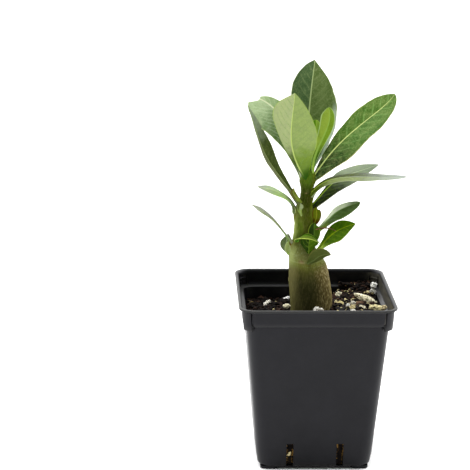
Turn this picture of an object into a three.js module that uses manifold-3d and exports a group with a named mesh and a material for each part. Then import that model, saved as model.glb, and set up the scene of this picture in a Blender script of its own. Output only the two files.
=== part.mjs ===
// A young desert rose (adenium) in its square nursery pot, in millimetres, +Z up.
// The origin is the centre of the pot's base on the surface that the pot stands on.
import * as THREE from 'three';
import { mergeVertices } from 'three/addons/utils/BufferGeometryUtils.js';
import Module from 'manifold-3d';

const wasm = await Module();
wasm.setup();

// Clearance between pieces that touch on the real plant, and room for the flats of a faceted round
const gap = 0.3;
const flatsRoom = 0.25;

// Pot: a 90 mm square nursery pot, 100 mm tall
const potHeight = 100;
const rimHalf = 45;
const collarHalf = 43.6;
const collarBottom = 89.5;
const lipBottom = 98.3;
const lipRound = 0.5;
const bodyHalfTop = 41;
const bodyHalfBottom = 33;
const bodyCorner = 8;
const rimCorner = 9;
const wall = 1.3;
const rimWall = 2.3;
const ledgeHeight = 90.6;
const ledgeDrop = 0.7;
const footHeight = 1;
const edgeRound = 1.6;
const footSize = 10;
const footCorner = 3;
const floorThickness = 1.6;
const earReach = 38.4;
const earHalf = 44;
const earBottom = 86.5;
const slotWidth = 4;
const slotTop = 16.5;
const slotOffset = 14.5;
const cornerSteps = 6;

// Potting mix: low at the back left, rising to the front right
const soilLeft = 82.5;
const soilRight = 89.5;
const soilSlope = 16;
const soilForward = 0.4;
const soilSides = 44;
const soilRings = 8;
const rootDepth = 60;

// Leaves
const bladeThickness = 0.8;
const keelDepth = 0.9;

const darkPlastic = new THREE.MeshStandardMaterial({ color: 0x333335, roughness: 0.55, metalness: 0 });
const darkMix = new THREE.MeshStandardMaterial({ color: 0x33271f, roughness: 0.95, metalness: 0 });
const bark = new THREE.MeshStandardMaterial({ color: 0x6b6430, roughness: 0.7, metalness: 0 });
const darkLeaf = new THREE.MeshStandardMaterial({ color: 0x44683a, roughness: 0.45, metalness: 0 });
const paleLeaf = new THREE.MeshStandardMaterial({ color: 0x9cb06c, roughness: 0.5, metalness: 0 });
const youngLeaf = new THREE.MeshStandardMaterial({ color: 0x7ca020, roughness: 0.4, metalness: 0 });
const perlite = new THREE.MeshStandardMaterial({ color: 0xd8d2c2, roughness: 0.9, metalness: 0 });

const plant = new THREE.Group();

function add(name, geometry, material) {
  const mesh = new THREE.Mesh(geometry, material.clone());
  mesh.name = name;
  plant.add(mesh);
  return mesh;
}

// Conversion between three.js geometry and closed solids that can be joined and cut

function solid(geometry) {
  const bare = geometry.clone();
  bare.deleteAttribute('normal');
  bare.deleteAttribute('uv');
  const merged = mergeVertices(bare, 1e-4);
  const index = merged.index.array;
  const triangles = [];
  for (let i = 0; i < index.length; i += 3) {
    const [a, b, c] = [index[i], index[i + 1], index[i + 2]];
    if (a !== b && b !== c && c !== a) triangles.push(a, b, c);
  }
  const vertProperties = new Float32Array(merged.attributes.position.array);
  return new wasm.Manifold(new wasm.Mesh({ numProp: 3, vertProperties, triVerts: new Uint32Array(triangles) }));
}

function geometryOf(body) {
  const mesh = body.getMesh();
  const geometry = new THREE.BufferGeometry();
  geometry.setAttribute('position', new THREE.BufferAttribute(new Float32Array(mesh.vertProperties), 3));
  geometry.setIndex(new THREE.BufferAttribute(new Uint32Array(mesh.triVerts), 1));
  geometry.computeVertexNormals();
  return geometry;
}

function largestPiece(body) {
  const pieces = body.decompose();
  pieces.sort((a, b) => b.volume() - a.volume());
  return pieces[0];
}

// A closed skin through rings of equal point counts, given from bottom to top, with a fan on each end
function loft(rings) {
  const count = rings[0].length;
  const positions = [];
  for (const ring of rings) {
    for (const p of ring) positions.push(p.x, p.y, p.z);
  }
  const centres = [rings[0], rings[rings.length - 1]].map((ring) => {
    const centre = new THREE.Vector3();
    for (const p of ring) centre.addScaledVector(p, 1 / count);
    return centre;
  });
  for (const c of centres) positions.push(c.x, c.y, c.z);
  const first = rings.length * count;
  const index = [];
  for (let j = 0; j < count; j++) {
    const k = (j + 1) % count;
    for (let i = 0; i < rings.length - 1; i++) {
      const a = i * count + j;
      const b = i * count + k;
      index.push(a, b, b + count, a, b + count, a + count);
    }
    const top = (rings.length - 1) * count;
    index.push(first, k, j, first + 1, top + j, top + k);
  }
  const geometry = new THREE.BufferGeometry();
  geometry.setAttribute('position', new THREE.Float32BufferAttribute(positions, 3));
  geometry.setIndex(index);
  return geometry;
}

// Square outline with rounded corners, at one height
function roundSquare(half, corner, z) {
  const points = [];
  for (let quarter = 0; quarter < 4; quarter++) {
    const turn = quarter * Math.PI / 2;
    for (let step = 0; step <= cornerSteps; step++) {
      const angle = step / cornerSteps * Math.PI / 2;
      const x = half - corner + corner * Math.cos(angle);
      const y = half - corner + corner * Math.sin(angle);
      const cos = Math.cos(turn);
      const sin = Math.sin(turn);
      points.push(new THREE.Vector3(x * cos - y * sin, x * sin + y * cos, z));
    }
  }
  return points;
}

// Distance from the middle of that outline to its edge in one direction
function reach(half, corner, angle) {
  const x = Math.abs(Math.cos(angle));
  const y = Math.abs(Math.sin(angle));
  const straight = half / Math.max(x, y);
  const centre = half - corner;
  if (straight * Math.min(x, y) <= centre) return straight;
  const along = (x + y) * centre;
  return along + Math.sqrt(along * along - 2 * centre * centre + corner * corner);
}

function bodyHalf(z) {
  return bodyHalfBottom + (bodyHalfTop - bodyHalfBottom) * z / collarBottom;
}

function box(width, depth, height, x, y, z) {
  return solid(new THREE.BoxGeometry(width, depth, height).translate(x, y, z));
}

function makePot() {
  const outer = solid(loft([
    roundSquare(bodyHalfBottom - edgeRound, bodyCorner - edgeRound, footHeight),
    roundSquare(bodyHalf(footHeight + edgeRound), bodyCorner, footHeight + edgeRound),
    roundSquare(bodyHalf(collarBottom), bodyCorner, collarBottom),
    roundSquare(collarHalf - lipRound, rimCorner, collarBottom + 0.3),
    roundSquare(collarHalf, rimCorner, collarBottom + 2 * lipRound),
    roundSquare(collarHalf, rimCorner, lipBottom - lipRound),
    roundSquare(rimHalf, rimCorner, lipBottom),
    roundSquare(rimHalf, rimCorner, potHeight - lipRound),
    roundSquare(rimHalf - lipRound, rimCorner - lipRound, potHeight),
  ]));
  const cavityFloor = footHeight + floorThickness;
  const cavity = solid(loft([
    roundSquare(bodyHalf(cavityFloor) - wall, bodyCorner - wall, cavityFloor),
    roundSquare(bodyHalf(ledgeHeight - ledgeDrop) - wall, bodyCorner - wall, ledgeHeight - ledgeDrop),
    roundSquare(rimHalf - rimWall - ledgeDrop, rimCorner - wall, ledgeHeight),
    roundSquare(rimHalf - rimWall, rimCorner - wall, potHeight + 1),
  ]));
  const earRing = solid(loft([
    roundSquare(earHalf - edgeRound, rimCorner, earBottom),
    roundSquare(earHalf, rimCorner, earBottom + edgeRound),
    roundSquare(earHalf, rimCorner, lipBottom + lipRound),
  ]));
  let pot = outer;
  for (const side of [[1, 1], [-1, 1], [-1, -1], [1, -1]]) {
    const corner = (earReach + rimHalf) / 2 + 1;
    const width = rimHalf - earReach + 2;
    const quarter = box(width, width, potHeight, side[0] * corner, side[1] * corner, potHeight / 2);
    pot = pot.add(earRing.intersect(quarter));
    const footPlace = bodyHalfBottom - edgeRound - footSize / 2;
    const outline = roundSquare(footSize / 2, footCorner, 0);
    const foot = new THREE.Shape(outline.map((p) => new THREE.Vector2(p.x, p.y)));
    const depth = footHeight + floorThickness / 2;
    const pad = new THREE.ExtrudeGeometry(foot, { depth, bevelEnabled: false });
    pot = pot.add(solid(pad.translate(side[0] * footPlace, side[1] * footPlace, 0)));
  }
  pot = pot.subtract(cavity);
  const slotHeight = slotTop - cavityFloor;
  for (const offset of [-slotOffset, slotOffset]) {
    const z = cavityFloor + slotHeight / 2;
    pot = pot.subtract(box(slotWidth, potHeight, slotHeight, offset, 0, z));
    pot = pot.subtract(box(potHeight, slotWidth, slotHeight, 0, offset, z));
  }
  return pot;
}

// Swollen trunk and stem: height, centre of the section across the picture, radius
const trunk = [
  [rootDepth, -2, 5], [rootDepth + 4, -1.8, 8.5], [70, -1.5, 11], [78, -1, 12.1], [88, -0.9, 12.1],
  [95.5, -1.4, 12.3], [103, -2.2, 12.3], [110.5, -3.3, 11.6], [115.5, -5, 10.2], [120, -6, 8.7],
  [125, -6.9, 7], [129, -7.2, 6], [133, -7, 5.6], [141, -6.6, 5.7], [146, -6.8, 5.3], [150, -5.9, 4.4],
  [154, -5.3, 3.7], [160, -5.1, 3.3], [165, -5, 3.8], [168.5, -4.6, 3.9], [170.5, -4.4, 2.6],
];
const trunkSides = 22;

function trunkSection(row, grow, sides) {
  const [z, centre, radius] = row;
  const ring = [];
  for (let j = 0; j < sides; j++) {
    const angle = j / sides * 2 * Math.PI;
    // low lengthwise ribs, as the bark has
    const r = radius * (1 + 0.015 * Math.sin(3 * angle + z / 9)) + grow;
    ring.push(new THREE.Vector3(centre + r * Math.cos(angle), r * Math.sin(angle), z));
  }
  return ring;
}

function makeTrunk(grow) {
  const rings = trunk.map((row) => trunkSection(row, grow, trunkSides));
  if (grow > 0) {
    for (const p of rings[rings.length - 1]) p.z += grow;
  }
  return solid(loft(rings));
}

// Surface of the potting mix: a slope from left to right with low lumps
function soilHeight(x, y) {
  const middle = (soilLeft + soilRight) / 2;
  const rise = (soilRight - soilLeft) / 2 * Math.tanh((x - soilForward * y) / soilSlope);
  const lumps = 0.7 * Math.sin(0.43 * x + 1) * Math.sin(0.37 * y + 2) + 0.35 * Math.sin(0.9 * x + 0.8 * y);
  return middle + rise + lumps;
}

function makeSoil(lift) {
  const bottom = footHeight + floorThickness + gap;
  const trunkAt = (z) => {
    const upper = trunk.findIndex((row) => row[0] >= z);
    const [a, b] = [trunk[Math.max(upper - 1, 0)], trunk[upper]];
    const t = (z - a[0]) / Math.max(b[0] - a[0], 1e-6);
    return [z, a[1] + (b[1] - a[1]) * t, a[2] + (b[2] - a[2]) * t];
  };
  const angles = Array.from({ length: soilSides }, (_, j) => j / soilSides * 2 * Math.PI);
  const wallPoint = (angle, z) => {
    const r = reach(bodyHalf(z) - wall - gap, bodyCorner - wall - gap, angle);
    return new THREE.Vector3(r * Math.cos(angle), r * Math.sin(angle), z);
  };
  const holeRing = (z) => trunkSection(trunkAt(z), gap + flatsRoom, soilSides);
  const rings = [];
  rings.push(angles.map((angle) => wallPoint(angle, bottom)));
  const edge = angles.map((angle) => {
    const p = wallPoint(angle, soilRight);
    return wallPoint(angle, soilHeight(p.x, p.y) + lift);
  });
  rings.push(edge);
  const inner = holeRing((soilLeft + soilRight) / 2);
  for (let i = 1; i <= soilRings; i++) {
    rings.push(edge.map((p, j) => {
      const q = p.clone().lerp(inner[j], i / soilRings);
      q.z = soilHeight(q.x, q.y) + lift;
      return q;
    }));
  }
  for (const z of [78, 70, rootDepth + 4, rootDepth]) rings.push(holeRing(z));
  for (const p of rings[rings.length - 1]) p.z -= gap + flatsRoom;
  return solid(loft(rings));
}

// A leaf blade. Its midrib is a smooth curve through four points. Its upper side faces the way given
// at the base and at the tip. Each half has its own greatest width and the place of it along the leaf,
// the edge follows a sine raised to the power blunt, the halves fold up by an angle in degrees, and a
// keel runs along the underside of the midrib.
function blade(leaf) {
  const [p0, p1, p2, p3] = leaf.midrib.map((p) => new THREE.Vector3(...p));
  const mix = (a, b, c, d) => new THREE.Vector3()
    .addScaledVector(p0, a).addScaledVector(p1, b).addScaledVector(p2, c).addScaledVector(p3, d);
  const handle1 = mix(-5 / 6, 3, -1.5, 1 / 3);
  const handle2 = mix(1 / 3, -1.5, 3, -5 / 6);
  const curve = new THREE.CubicBezierCurve3(p0, handle1, handle2, p3);
  const faceBase = new THREE.Vector3(...leaf.faces[0]);
  const faceTip = new THREE.Vector3(...(leaf.faces[1] ?? leaf.faces[0]));
  const [long, wide] = leaf.cells;
  const fold = THREE.MathUtils.degToRad(leaf.fold ?? 5);
  const [waveHeight, waveCount, waveStart] = leaf.wave ?? [0, 1, 0];
  const stalk = leaf.stalk ?? 1.2;
  const upper = [];
  const lower = [];
  for (let i = 0; i <= long; i++) {
    const s = i / long;
    const u = 0.5 * s + 0.25 * (1 - Math.cos(Math.PI * s));
    const centre = curve.getPoint(u);
    const along = curve.getTangent(u);
    const up = faceBase.clone().lerp(faceTip, u);
    up.addScaledVector(along, -up.dot(along)).normalize();
    const across = along.clone().cross(up);
    const keel = keelDepth * (1 - u) + 0.2;
    for (let j = 0; j <= wide; j++) {
      const v = 2 * j / wide - 1;
      const side = v < 0 ? 0 : 1;
      const power = Math.log(0.5) / Math.log(leaf.widest[side]);
      const edge = leaf.half[side] * Math.max(Math.sin(Math.PI * u ** power), 0) ** leaf.blunt;
      const width = edge + stalk * (1 - u) ** 2;
      const ripple = waveHeight * Math.sin(2 * Math.PI * waveCount * u + waveStart) * Math.sin(Math.PI * u);
      const lift = Math.abs(v) * width * Math.sin(fold) + ripple * v * v * Math.sign(v);
      const p = centre.clone().addScaledVector(across, v * width * Math.cos(fold)).addScaledVector(up, lift);
      upper.push(p.clone().addScaledVector(up, bladeThickness / 2));
      lower.push(p.addScaledVector(up, -bladeThickness / 2 - (j === wide / 2 ? keel : 0)));
    }
  }
  const positions = [...upper, ...lower].flatMap((p) => [p.x, p.y, p.z]);
  const row = wide + 1;
  const under = upper.length;
  const index = [];
  for (let i = 0; i < long; i++) {
    for (let j = 0; j < wide; j++) {
      const a = i * row + j;
      const b = a + 1;
      const c = a + row;
      const d = c + 1;
      index.push(a, b, d, a, d, c);
      index.push(under + a, under + d, under + b, under + a, under + c, under + d);
    }
    const left = i * row;
    const right = left + wide;
    index.push(left, left + row, under + left + row, left, under + left + row, under + left);
    index.push(right, under + right + row, right + row, right, under + right, under + right + row);
  }
  for (let j = 0; j < wide; j++) {
    const tip = long * row + j;
    index.push(j, under + j + 1, j + 1, j, under + j, under + j + 1);
    index.push(tip, tip + 1, under + tip + 1, tip, under + tip + 1, under + tip);
  }
  const geometry = new THREE.BufferGeometry();
  geometry.setAttribute('position', new THREE.Float32BufferAttribute(positions, 3));
  geometry.setIndex(index);
  return solid(geometry);
}

const broad = [14, 6];
const slim = [11, 4];
const tiny = [7, 4];
const toViewer = [0, -1, 0.2];

const leaves = [
  { name: 'leaf_back_tall', material: darkLeaf, cells: broad, faces: [[-0.1, -0.9, 0.3], [0.5, -0.8, 0.2]],
    midrib: [[-3.5, 3.2, 167.5], [-4.5, 11, 191], [-2.5, 16, 216.5], [-0.5, 20, 232]],
    half: [12, 16.5], widest: [0.64, 0.48], blunt: 1.2, fold: 2 },
  { name: 'leaf_front_pale', material: paleLeaf, cells: broad, faces: [[0.2, 1, 0.1], [0.5, 0.8, 0.4]],
    midrib: [[-6, -3, 167], [-14.5, -8, 186.5], [-15, -12, 203.5], [-14, -13, 218]],
    half: [15, 12], widest: [0.45, 0.7], blunt: 0.9, fold: 1 },
  { name: 'leaf_right_broad', material: darkLeaf, cells: broad, faces: [[-0.5, -0.5, 0.7], [-0.5, -0.6, 0.6]],
    midrib: [[-1.4, -0.8, 165.5], [15, 4.5, 187], [33.5, 9, 202], [45.5, 12, 213.5]],
    half: [10.5, 13], widest: [0.64, 0.47], blunt: 0.7, fold: 4 },
  { name: 'leaf_left_broad', material: paleLeaf, cells: broad, faces: [[0.3, -0.8, 0.4]],
    midrib: [[-8, 0.5, 165.5], [-12.5, 2.5, 181.5], [-20.5, 6, 200], [-38, 8.5, 210.5]],
    half: [12.5, 7.5], widest: [0.77, 0.6], blunt: 0.6, fold: 4 },
  { name: 'leaf_left_long', material: darkLeaf, cells: broad, faces: [[0.8, -0.6, 0.4]],
    midrib: [[-9, -0.5, 151], [-24.5, -1.5, 172], [-32, -3.5, 186], [-40, -5, 211]],
    half: [4.5, 6.5], widest: [0.46, 0.62], blunt: 0.85, fold: 20 },
  { name: 'leaf_right_arched', material: paleLeaf, cells: broad, faces: [[-0.1, -0.3, 1], [0, -0.1, 1]],
    midrib: [[-3, -2, 156], [8.5, -5, 166.5], [27, -9, 169], [50.5, -13, 170]],
    half: [5, 7], widest: [0.64, 0.42], blunt: 0.4, fold: 3 },
  { name: 'leaf_right_low', material: darkLeaf, cells: broad, faces: [[-0.4, -0.5, 0.8], [-0.5, -0.3, 0.8]],
    midrib: [[-2.5, 0.5, 148], [10, 6, 161.5], [21.5, 11, 166.5], [38, 16, 171]],
    half: [8.5, 9.5], widest: [0.74, 0.55], blunt: 0.76, fold: 1 },
  { name: 'leaf_left_arched', material: paleLeaf, cells: slim, faces: [[-0.1, -0.3, 0.9], [0.2, -0.1, 1]],
    midrib: [[-11.5, -1, 145], [-17, -3, 155.5], [-26.5, -5, 160.5], [-34, -5, 162.5]],
    half: [7, 5], widest: [0.55, 0.63], blunt: 0.76, fold: 2 },
  { name: 'leaf_left_slim', material: paleLeaf, cells: slim, faces: [[0.6, -0.1, 0.8], [0.6, -0.2, 0.8]],
    midrib: [[-12.5, -1.5, 127.5], [-19.5, -3, 137], [-27.5, -4, 145], [-37.5, -5, 152]],
    half: [4.5, 4], widest: [0.79, 0.75], blunt: 1.25, fold: 3, stalk: 0.7 },
  { name: 'leaf_right_oval', material: darkLeaf, cells: slim, faces: [[-0.6, -0.2, 0.8], [-0.6, -0.5, 0.7]],
    midrib: [[-2, -1, 132], [8, -2, 142.5], [14, -3, 148], [25.5, -4, 153]],
    half: [4.5, 8], widest: [0.63, 0.65], blunt: 0.53, fold: 2 },
  { name: 'leaf_right_lower', material: darkLeaf, cells: slim, faces: [[-0.5, -0.5, 0.8], [-0.4, -0.7, 0.6]],
    midrib: [[0, -3, 122], [7, -5, 131.5], [13.5, -6, 137], [23, -7, 141]],
    half: [6, 7], widest: [0.66, 0.59], blunt: 0.86, fold: 2 },
  { name: 'leaf_young_tall', material: youngLeaf, cells: slim, faces: [toViewer],
    midrib: [[-2, -1.6, 169.5], [0.5, 0.5, 183], [6, 2, 195.5], [6.5, 3, 207]],
    half: [5.4, 3.2], widest: [0.8, 0.7], blunt: 0.5, stalk: 0.8 },
  { name: 'leaf_young_short', material: youngLeaf, cells: slim, faces: [toViewer],
    midrib: [[-4.8, 1.6, 169.8], [-0.5, 3.5, 182], [0, 4, 191], [-0.5, 5, 199.5]],
    half: [3.3, 3.3], widest: [0.75, 0.75], blunt: 0.45, stalk: 0.8 },
  { name: 'leaf_shoulder', material: darkLeaf, cells: slim, faces: [[-0.1, 1, 0.3]],
    midrib: [[-6, -9, 117], [-1, -12, 121], [3, -13.5, 124], [8.5, -13.5, 124]],
    half: [3, 5], widest: [0.56, 0.54], blunt: 0.75, stalk: 0.8 },
  { name: 'leaf_front_fan', material: youngLeaf, cells: tiny, faces: [toViewer],
    midrib: [[-4, -7, 122], [-4, -9, 126.5], [-4, -9.5, 129.5], [-3.5, -9.5, 132.5]],
    half: [5, 5.5], widest: [0.75, 0.75], blunt: 0.56, stalk: 0.8 },
  { name: 'leaf_front_flat', material: youngLeaf, cells: tiny, faces: [[0, -0.2, 1]],
    midrib: [[-10.5, -3.5, 129], [-8, -8, 133.5], [-3, -10, 134], [2.5, -9, 130]],
    half: [2.5, 5], widest: [0.5, 0.5], blunt: 0.8, stalk: 0.8 },
  { name: 'leaf_front_upright', material: darkLeaf, cells: tiny, faces: [toViewer],
    midrib: [[-4, -4, 128], [-2, -5.5, 132.5], [-2.5, -5.5, 138.5], [-1.5, -5.5, 142]],
    half: [3, 3], widest: [0.56, 0.58], blunt: 0.85, stalk: 0.8 },
  { name: 'leaf_right_round', material: darkLeaf, cells: tiny, faces: [toViewer],
    midrib: [[-2, -1, 138], [0.5, -2.5, 143.5], [0.5, -3, 147.5], [1, -2.5, 149]],
    half: [2.5, 2.5], widest: [0.53, 0.5], blunt: 0.7, stalk: 0.6 },
  { name: 'leaf_left_round', material: darkLeaf, cells: tiny, faces: [toViewer],
    midrib: [[-12.5, 4.5, 119.5], [-15.5, 6, 124.5], [-16, 6.5, 127], [-15, 7, 131.5]],
    half: [3.5, 4.5], widest: [0.5, 0.5], blunt: 0.7 },
  { name: 'leaf_left_small', material: paleLeaf, cells: tiny, faces: [[-0.3, -1, 0.3]],
    midrib: [[-14, 0.5, 120.5], [-14.5, 1, 123.5], [-14.5, 0.5, 126.5], [-14, 0, 129]],
    half: [2.5, 2.5], widest: [0.5, 0.5], blunt: 0.7 },
  { name: 'bud_leaf_left', material: darkLeaf, cells: tiny, faces: [toViewer],
    midrib: [[-8, -2.5, 152], [-12.5, -5, 157], [-13.5, -5, 159.5], [-13, -4.5, 161.5]],
    half: [1.5, 1.5], widest: [0.5, 0.5], blunt: 0.8, stalk: 0.6 },
  { name: 'bud_leaf_front', material: paleLeaf, cells: tiny, faces: [toViewer],
    midrib: [[-8, -4.5, 144.5], [-9.5, -6.5, 149], [-9.5, -7, 151], [-9.5, -7, 153]],
    half: [2, 2], widest: [0.7, 0.7], blunt: 0.6, stalk: 0.6 },
  { name: 'leaf_back_middle', material: darkLeaf, cells: slim, faces: [[0, -0.4, 1], [0, 0.2, 1]],
    midrib: [[-5.5, 2.8, 162], [-7, 14, 172], [-9.5, 29, 180], [-12, 46, 180]],
    half: [8, 8], widest: [0.6, 0.6], blunt: 0.8 },
];

const trunkGrown = makeTrunk(gap);

function seatedLeaf(leaf) {
  return largestPiece(blade(leaf).subtract(trunkGrown));
}

// Perlite grains on the mix: place on the surface, length across, depth and height, turn about Z
const grains = [
  [-26.8, 24, 7.5, 2.8, 3, 45], [-14, 31.8, 4.4, 3, 3, 35], [-14.5, 15.4, 5.4, 4.2, 4.6, 10],
  [-35.5, 24.6, 3, 2.8, 3, 0], [15.1, 12.8, 2.6, 2.2, 2.2, 0], [17.6, 27.2, 5.7, 4.6, 5, 15],
  [31.8, 10.5, 13, 5.2, 5.4, -28], [36.2, 25, 4.2, 4, 8.6, 0, 3], [23.6, 3.5, 3.6, 3.6, 3.8, 0],
  [28.3, -7, 4.2, 3.2, 3, 25], [35, -10, 7, 4.5, 4.2, -15], [40, -15, 3.2, 3.6, 2.6, 0, 2.7],
  [2.3, -15.4, 5.4, 4, 7, 10, 3.3], [17.7, 5.9, 4, 3, 2.8, 20], [20.2, -4.8, 2.6, 2.6, 3.2, 0],
  [22.1, -13.9, 4, 3, 3, 0, 2],
];

function makeGrain(grain, number, ground) {
  const [x, y, length, depth, height, turn, lift = height * 0.2] = grain;
  const ball = new THREE.IcosahedronGeometry(1, 1).deleteAttribute('normal').deleteAttribute('uv');
  const geometry = mergeVertices(ball);
  const place = geometry.attributes.position;
  for (let i = 0; i < place.count; i++) {
    const p = new THREE.Vector3().fromBufferAttribute(place, i);
    // an uneven, broken surface that differs from grain to grain
    const waves = 0.12 * Math.sin(5 * p.x + 3 * p.y + number) + 0.1 * Math.sin(4 * p.z - 6 * p.y + 2 * number);
    p.multiplyScalar(1 + waves);
    place.setXYZ(i, p.x * length / 2, p.y * depth / 2, p.z * height / 2);
  }
  geometry.rotateZ(THREE.MathUtils.degToRad(turn));
  geometry.translate(x, y, soilHeight(x, y) + lift);
  return largestPiece(solid(geometry).subtract(ground));
}

add('pot', geometryOf(makePot()), darkPlastic);
add('potting_mix', geometryOf(makeSoil(0)), darkMix);
add('caudex_and_stem', geometryOf(makeTrunk(0)), bark);
for (const leaf of leaves) add(leaf.name, geometryOf(seatedLeaf(leaf)), leaf.material);
const ground = makeSoil(gap).add(makeTrunk(gap));
grains.forEach((grain, number) => {
  add(`perlite_${number + 1}`, geometryOf(makeGrain(grain, number, ground)), perlite);
});

export default plant;
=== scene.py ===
# A young desert rose in its square nursery pot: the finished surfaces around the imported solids.
import math
import bmesh
import bpy
import numpy as np
from mathutils import Matrix, Vector


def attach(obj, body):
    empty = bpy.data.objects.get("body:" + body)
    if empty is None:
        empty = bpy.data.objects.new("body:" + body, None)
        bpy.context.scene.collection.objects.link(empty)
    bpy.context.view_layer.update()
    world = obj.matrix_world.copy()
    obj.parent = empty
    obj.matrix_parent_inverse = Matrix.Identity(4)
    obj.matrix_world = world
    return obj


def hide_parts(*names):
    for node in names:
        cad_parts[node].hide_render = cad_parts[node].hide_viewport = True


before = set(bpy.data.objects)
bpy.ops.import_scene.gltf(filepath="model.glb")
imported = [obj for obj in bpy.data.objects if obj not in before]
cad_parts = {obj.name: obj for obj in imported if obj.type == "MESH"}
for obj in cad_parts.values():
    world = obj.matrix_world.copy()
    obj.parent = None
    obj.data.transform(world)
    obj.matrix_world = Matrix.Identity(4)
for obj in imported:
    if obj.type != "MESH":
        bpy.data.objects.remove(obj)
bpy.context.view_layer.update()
mm = 0.001
print("frame loaded:", len(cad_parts), "nodes")

# Camera, as the photograph was taken: turned and tilted a little, from about a metre away

view = {
    "turn": 1.95,  # degrees to the left of straight ahead
    "tilt": 14.32,  # degrees above level
    "roll": 0.56,
    "aim": (-46.4, 0.0, 132.4),  # mm, the point in the middle of the picture
    "distance": 1000.0,
    "lens": 132.05,
    "sensor": 36.0,
}


def place(data):
    # an object for a mesh, a lamp or the camera, linked to the scene
    made = bpy.data.objects.new(data.name, data)
    bpy.context.scene.collection.objects.link(made)
    return made


def makeCamera(v):
    # back points from the aim to the camera, and the roll turns the other two directions about it
    turn, tilt, roll = (math.radians(v[k]) for k in ("turn", "tilt", "roll"))
    back = Vector((-math.sin(turn) * math.cos(tilt), -math.cos(turn) * math.cos(tilt), math.sin(tilt)))
    right = (-back).cross(Vector((0, 0, 1))).normalized()
    up = right.cross(-back)
    rolledRight = right * math.cos(roll) + up * math.sin(roll)
    rolledUp = up * math.cos(roll) - right * math.sin(roll)
    stand = (Vector(v["aim"]) + back * v["distance"]) * mm
    data = bpy.data.cameras.new("camera")
    data.lens = v["lens"]
    data.sensor_width = v["sensor"]
    data.clip_start = 0.01
    camera = place(data)
    turned = Matrix((rolledRight, rolledUp, back)).transposed().to_4x4()
    camera.matrix_world = Matrix.Translation(stand) @ turned
    bpy.context.scene.camera = camera


makeCamera(view)

# Shader maths as plain expressions


class Sock:
    # wraps one output socket, so that Python operators add Math nodes
    def __init__(self, owner, socket):
        self.owner = owner
        self.socket = socket

    def math(self, operation, *others):
        return self.owner.node("ShaderNodeMath", {"operation": operation}, self, *others)

    def __add__(self, other):
        return self.math("ADD", other)

    __radd__ = __add__

    def __mul__(self, other):
        return self.math("MULTIPLY", other)

    __rmul__ = __mul__

    def __sub__(self, other):
        return self.math("SUBTRACT", other)

    def __rsub__(self, other):
        return self.owner.node("ShaderNodeMath", {"operation": "SUBTRACT"}, other, self)

    def __truediv__(self, other):
        return self.math("DIVIDE", other)

    def __pow__(self, other):
        return self.math("POWER", other)

    def __abs__(self):
        return self.math("ABSOLUTE")

    def fract(self):
        return self.math("FRACT")

    def clip(self):
        return self.owner.node("ShaderNodeClamp", {}, self)

    def ramp(self, low, high, start=0.0, end=1.0):
        # smooth step: start below low, end above high
        settings = {"interpolation_type": "SMOOTHSTEP"}
        return self.owner.node("ShaderNodeMapRange", settings, self, low, high, start, end)


class Tree:
    # the nodes of one material or world
    def __init__(self, owner):
        owner.use_nodes = True
        self.tree = owner.node_tree

    def node(self, kind, settings, *values, output=0, **named):
        # any node: its settings, its inputs by number or by name, and the number of the output used
        made = self.tree.nodes.new(kind)
        for key, value in settings.items():
            if key == "stops":
                ramp = made.color_ramp
                while len(ramp.elements) < len(value):
                    ramp.elements.new(0.5)
                for element, (position, colour) in zip(ramp.elements, value):
                    element.position = position
                    element.color = rgb(colour)
            else:
                setattr(made, key, value)
        for number, value in enumerate(values):
            self.feed(made.inputs[number], value)
        for key, value in named.items():
            self.feed(made.inputs[key.replace("_", " ")], value)
        return Sock(self, made.outputs[output])

    def feed(self, target, value):
        if isinstance(value, Sock):
            self.tree.links.new(value.socket, target)
        elif value is not None:
            target.default_value = rgb(value) if isinstance(value, str) else value


class Mat(Tree):
    # one material, whose fixed values go to the sockets of its Principled shader
    def __init__(self, name, **fixed):
        self.material = bpy.data.materials.new(name)
        super().__init__(self.material)
        self.skin = self.tree.nodes["Principled BSDF"]
        self.dress(**fixed)

    def mix(self, factor, first, second):
        # colours blended by a factor
        made = self.tree.nodes.new("ShaderNodeMix")
        made.data_type = "RGBA"
        self.feed(made.inputs[0], factor)
        self.feed(made.inputs[6], first)
        self.feed(made.inputs[7], second)
        return Sock(self, made.outputs[2])

    def coats(self, body, *coats):
        # colours laid over one another, each by its share
        for share, colour in coats:
            body = self.mix(share, body, colour)
        return body

    def attribute(self, name):
        return self.node("ShaderNodeAttribute", {"attribute_name": name}, output=2)

    def spot(self):
        return self.node("ShaderNodeTexCoord", {}, output=3)

    def part(self, vector, number):
        return self.node("ShaderNodeSeparateXYZ", {}, vector, output=number)

    def vector(self, x, y, z):
        return self.node("ShaderNodeCombineXYZ", {}, x, y, z)

    def upright(self, spot, scale):
        # marks stretched upwards
        return self.node("ShaderNodeMapping", {}, Vector=spot, Scale=(1.0, 1.0, scale))

    def noise(self, spot, scale, detail=3.0, rough=0.55):
        kind = "ShaderNodeTexNoise"
        return self.node(kind, {}, Vector=spot, Scale=scale, Detail=detail, Roughness=rough)

    def bump(self, height, depth, strength):
        return self.node("ShaderNodeBump", {}, Height=height, Distance=depth, Strength=strength)

    def dress(self, **links):
        for key, value in links.items():
            self.feed(self.skin.inputs[key.replace("_", " ")], value)
        return self.material


def rgb(hexCode):
    # a colour as seen on screen, in the linear numbers that shaders use
    parts = np.array([int(hexCode[i:i + 2], 16) for i in (1, 3, 5)]) / 255
    linear = np.where(parts <= 0.04045, parts / 12.92, ((parts + 0.055) / 1.055) ** 2.4)
    return (*map(float, linear), 1.0)


def shade(hexCode, share):
    # the colour with each linear number multiplied by share
    return (*(min(1.0, share * c) for c in rgb(hexCode)[:3]), 1.0)


# Mesh helpers


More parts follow.
